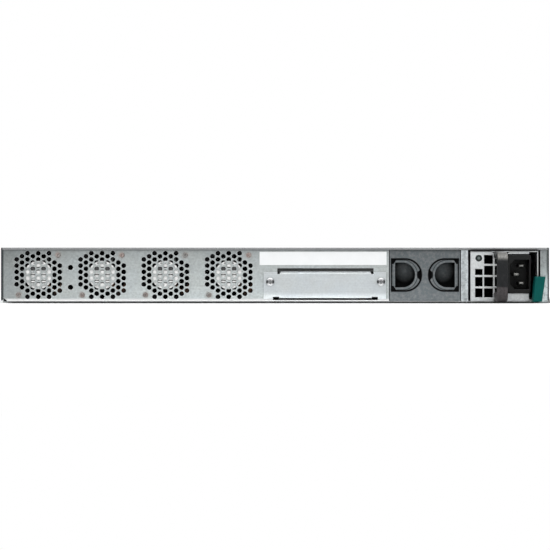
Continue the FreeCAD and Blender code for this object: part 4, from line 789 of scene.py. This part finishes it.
def jack_contacts():
    """Gold contact wires, eight in each jack."""
    jacks = []                  # (x, z, sign of the rise, y of the front face)
    for block in ("rj45_block_1", "rj45_block_2"):
        lo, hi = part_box(block)
        for i in range(JACKS_PER_ROW):
            x = (lo.x + hi.x) / 2 + (i - (JACKS_PER_ROW - 1) / 2) * JACK_PITCH
            jacks.append((x, lo.z + JACK_INSET, -1, hi.y))
            jacks.append((x, hi.z - JACK_INSET, 1, hi.y))
    lo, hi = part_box("console_port")
    jacks.append(((lo.x + hi.x) / 2, lo.z + JACK_INSET, -1, hi.y))
    bm = bmesh.new()
    for x, z, sign, front_y in jacks:
        for i in range(CONTACTS_PER_JACK):
            contact_x = x + (i - (CONTACTS_PER_JACK - 1) / 2) * CONTACT_PITCH
            path = [(contact_x, front_y - depth, z + sign * rise) for depth, rise in CONTACT_PATH]
            sweep(bm, path, CONTACT_RADIUS, segments=6)
    piece("jack_contacts", bm, contact_gold)


SLOT_X = (0.0022, 0.0788)       # left and right ends of the gasket
COVER_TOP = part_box("expansion_cover")[1].z
GASKET_Z = COVER_TOP + 0.00125
GASKET_HALF = 0.00162           # half the gasket's height
GASKET_STEPS = 96
# Gasket section: (y, height as a share of the half height)
GASKET_SECTION = [(-0.2118, -1), (-0.2128, -0.8), (-0.2133, -0.3), (-0.2133, 0.3),
                  (-0.2128, 0.8), (-0.2118, 1), (-0.2100, 1), (-0.2100, -1)]
GASKET_BACK_Y = -0.2105         # only points behind the panel side of this plane ripple


def slot_gasket():
    """Conductive foam strip over the expansion cover plate, rippled on its rear side; its dark
    grey is painted shade at the top of the slot.
    """
    # dark grey that paints the shade at the top of the slot
    material = plastic("gasket_weave_and_shade", (0.085, 0.088, 0.088), rough=0.7, grain=1500,
                       grain_height=0.0001, strength=0.8, speck=0.6,
                       speck_colour=(0.12, 0.122, 0.12), wear=0.0, drift=0.2, specular=0.2)
    bm = bmesh.new()
    rings = []
    for i in range(GASKET_STEPS + 1):
        x = SLOT_X[0] + (SLOT_X[1] - SLOT_X[0]) * i / GASKET_STEPS
        ripple = 0.00012 * math.sin(i * 1.9) + 0.00008 * math.sin(i * 0.7 + 1)
        rings.append([bm.verts.new((x, y + (ripple if y < GASKET_BACK_Y else 0),
                                    GASKET_Z + share * GASKET_HALF))
                      for y, share in GASKET_SECTION])
    for near, far in zip(rings, rings[1:]):
        for j in range(len(GASKET_SECTION)):
            following = (j + 1) % len(GASKET_SECTION)
            bm.faces.new((near[j], far[j], far[following], near[following]))
    bm.faces.new(rings[0])
    bm.faces.new(rings[-1][::-1])
    piece("slot_gasket", bm, material)


def cover_rolled_edge():
    """Rolled top edge of the expansion cover plate."""
    inset, y, z = 0.0022, -0.2152, COVER_TOP - 0.0001
    bm = bmesh.new()
    sweep(bm, [(SLOT_X[0] + inset, y, z), (SLOT_X[1] - inset, y, z)], 0.00042, segments=12)
    piece("cover_rolled_edge", bm, zinc_plate)


jack_contacts()
slot_gasket()
cover_rolled_edge()


# =====================================================================
# Stage: pale floor, soft light, camera
# =====================================================================
def floor_material():
    """Pale floor with a contact shadow, melting into the white backdrop far away."""
    k = Material("floor_pale")
    pale = k.mix((0.90, 0.90, 0.90), (0.92, 0.92, 0.92), by=k.drift(0.0, 1.0, scale=3))
    seen = k.signal("ShaderNodeLightPath", "Is Camera Ray")
    open_sky = k.openness(0.07, samples=12)
    incoming = k.signal("ShaderNodeNewGeometry", "Incoming")
    grazing = k.component(incoming, "Z").remap(0.020, 0.045, to=(1.0, 0.0))
    contact = open_sky.curve([(0.0, 0.08), (0.55, 0.10), (0.80, 0.24), (0.88, 0.62),
                              (0.93, 1.0), (1.0, 1.0)])
    shadow = open_sky.remap(0.42, 0.98, to=(0.10, 1.0)) * contact.within(grazing)
    # the contact line fades towards the left corner
    lifted = k.axis("X").remap(-0.2160, -0.2100, to=(1.0, 0.0)) * grazing
    shadow = shadow.within(1.0 - lifted).within(seen)
    k.finish(k.shade(pale, shadow), 0.6, Specular_IOR_Level=0.2)
    away = k.signal("ShaderNodeVectorMath", "Value", {0: k.position}, operation="LENGTH")
    fade = away.remap(0.45, 1.5, smooth=True) * seen
    glow = k.signal("ShaderNodeEmission", 0, {0: (1, 1, 1)})
    blend = k.signal("ShaderNodeMixShader", 0, {0: fade, 1: k.surface, 2: glow})
    k.put(k.output.inputs[0], blend)
    return k.material


def add_floor():
    material = floor_material()
    bm = bmesh.new()
    bmesh.ops.create_grid(bm, x_segments=2, y_segments=2, size=60.0)
    mesh = bpy.data.meshes.new("floor")
    bm.to_mesh(mesh)
    bm.free()
    floor = bpy.data.objects.new("floor", mesh)
    floor.location = (0, 0, cad_lo.z - 0.0002)
    mesh.materials.append(material)
    scene.collection.objects.link(floor)


def add_world():
    """Light that brightens upwards; the camera itself sees plain white."""
    scene.world = bpy.data.worlds.new("studio")
    g = Graph(scene.world)
    height = g.component(g.signal("ShaderNodeTexCoord", "Generated"), "Z")
    sky = g.ramp(height, [(0.0, (0.42, 0.425, 0.43)), (0.30, (0.56, 0.565, 0.57)),
                          (0.62, (0.95, 0.95, 0.95)), (1.0, (1.02, 1.02, 1.02))])
    light = g.signal("ShaderNodeBackground", 0, {0: sky, 1: 1.0})
    white = g.signal("ShaderNodeBackground", 0, {0: (1, 1, 1), 1: 1.0})
    seen = g.signal("ShaderNodeLightPath", "Is Camera Ray")
    shader = g.signal("ShaderNodeMixShader", 0, {0: seen, 1: light, 2: white})
    g.node("ShaderNodeOutputWorld", {0: shader})


def area(name, location, target, size, energy):
    light = bpy.data.lights.new(name, "AREA")
    light.shape = "RECTANGLE"
    light.size, light.size_y = size
    light.energy = energy
    ob = bpy.data.objects.new(name, light)
    ob.location = location
    aim = Vector(target) - Vector(location)
    ob.rotation_euler = aim.to_track_quat("-Z", "Y").to_euler()
    scene.collection.objects.link(ob)


def add_camera():
    """Looks straight at the rear panel; view_width is what it takes in there."""
    distance, height, view_width, sensor = 1.6, 0.022, 0.4416, 36.0
    data = bpy.data.cameras.new("camera")
    camera = bpy.data.objects.new("camera", data)
    scene.collection.objects.link(camera)
    camera.location = (0.0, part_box("chassis_pan")[0].y - distance, height)
    camera.rotation_euler = (math.radians(90), 0, 0)
    data.sensor_width = sensor
    data.lens = sensor * distance / view_width
    data.clip_start, data.clip_end = 0.01, 200.0
    scene.camera = camera


add_floor()
add_world()
area("key_top", (0.2, -1.0, 1.6), target=(0, -0.1, 0), size=(1.6, 1.0), energy=16.0)
area("fill_left", (-1.8, -0.9, 0.9), target=(0, 0, 0), size=(1.0, 1.2), energy=9.0)
area("rim_back", (0.6, 1.7, 1.2), target=(0, 0.1, 0), size=(1.4, 0.8), energy=12.0)
add_camera()
scene.view_settings.view_transform = "Standard"
scene.view_settings.look = "None"
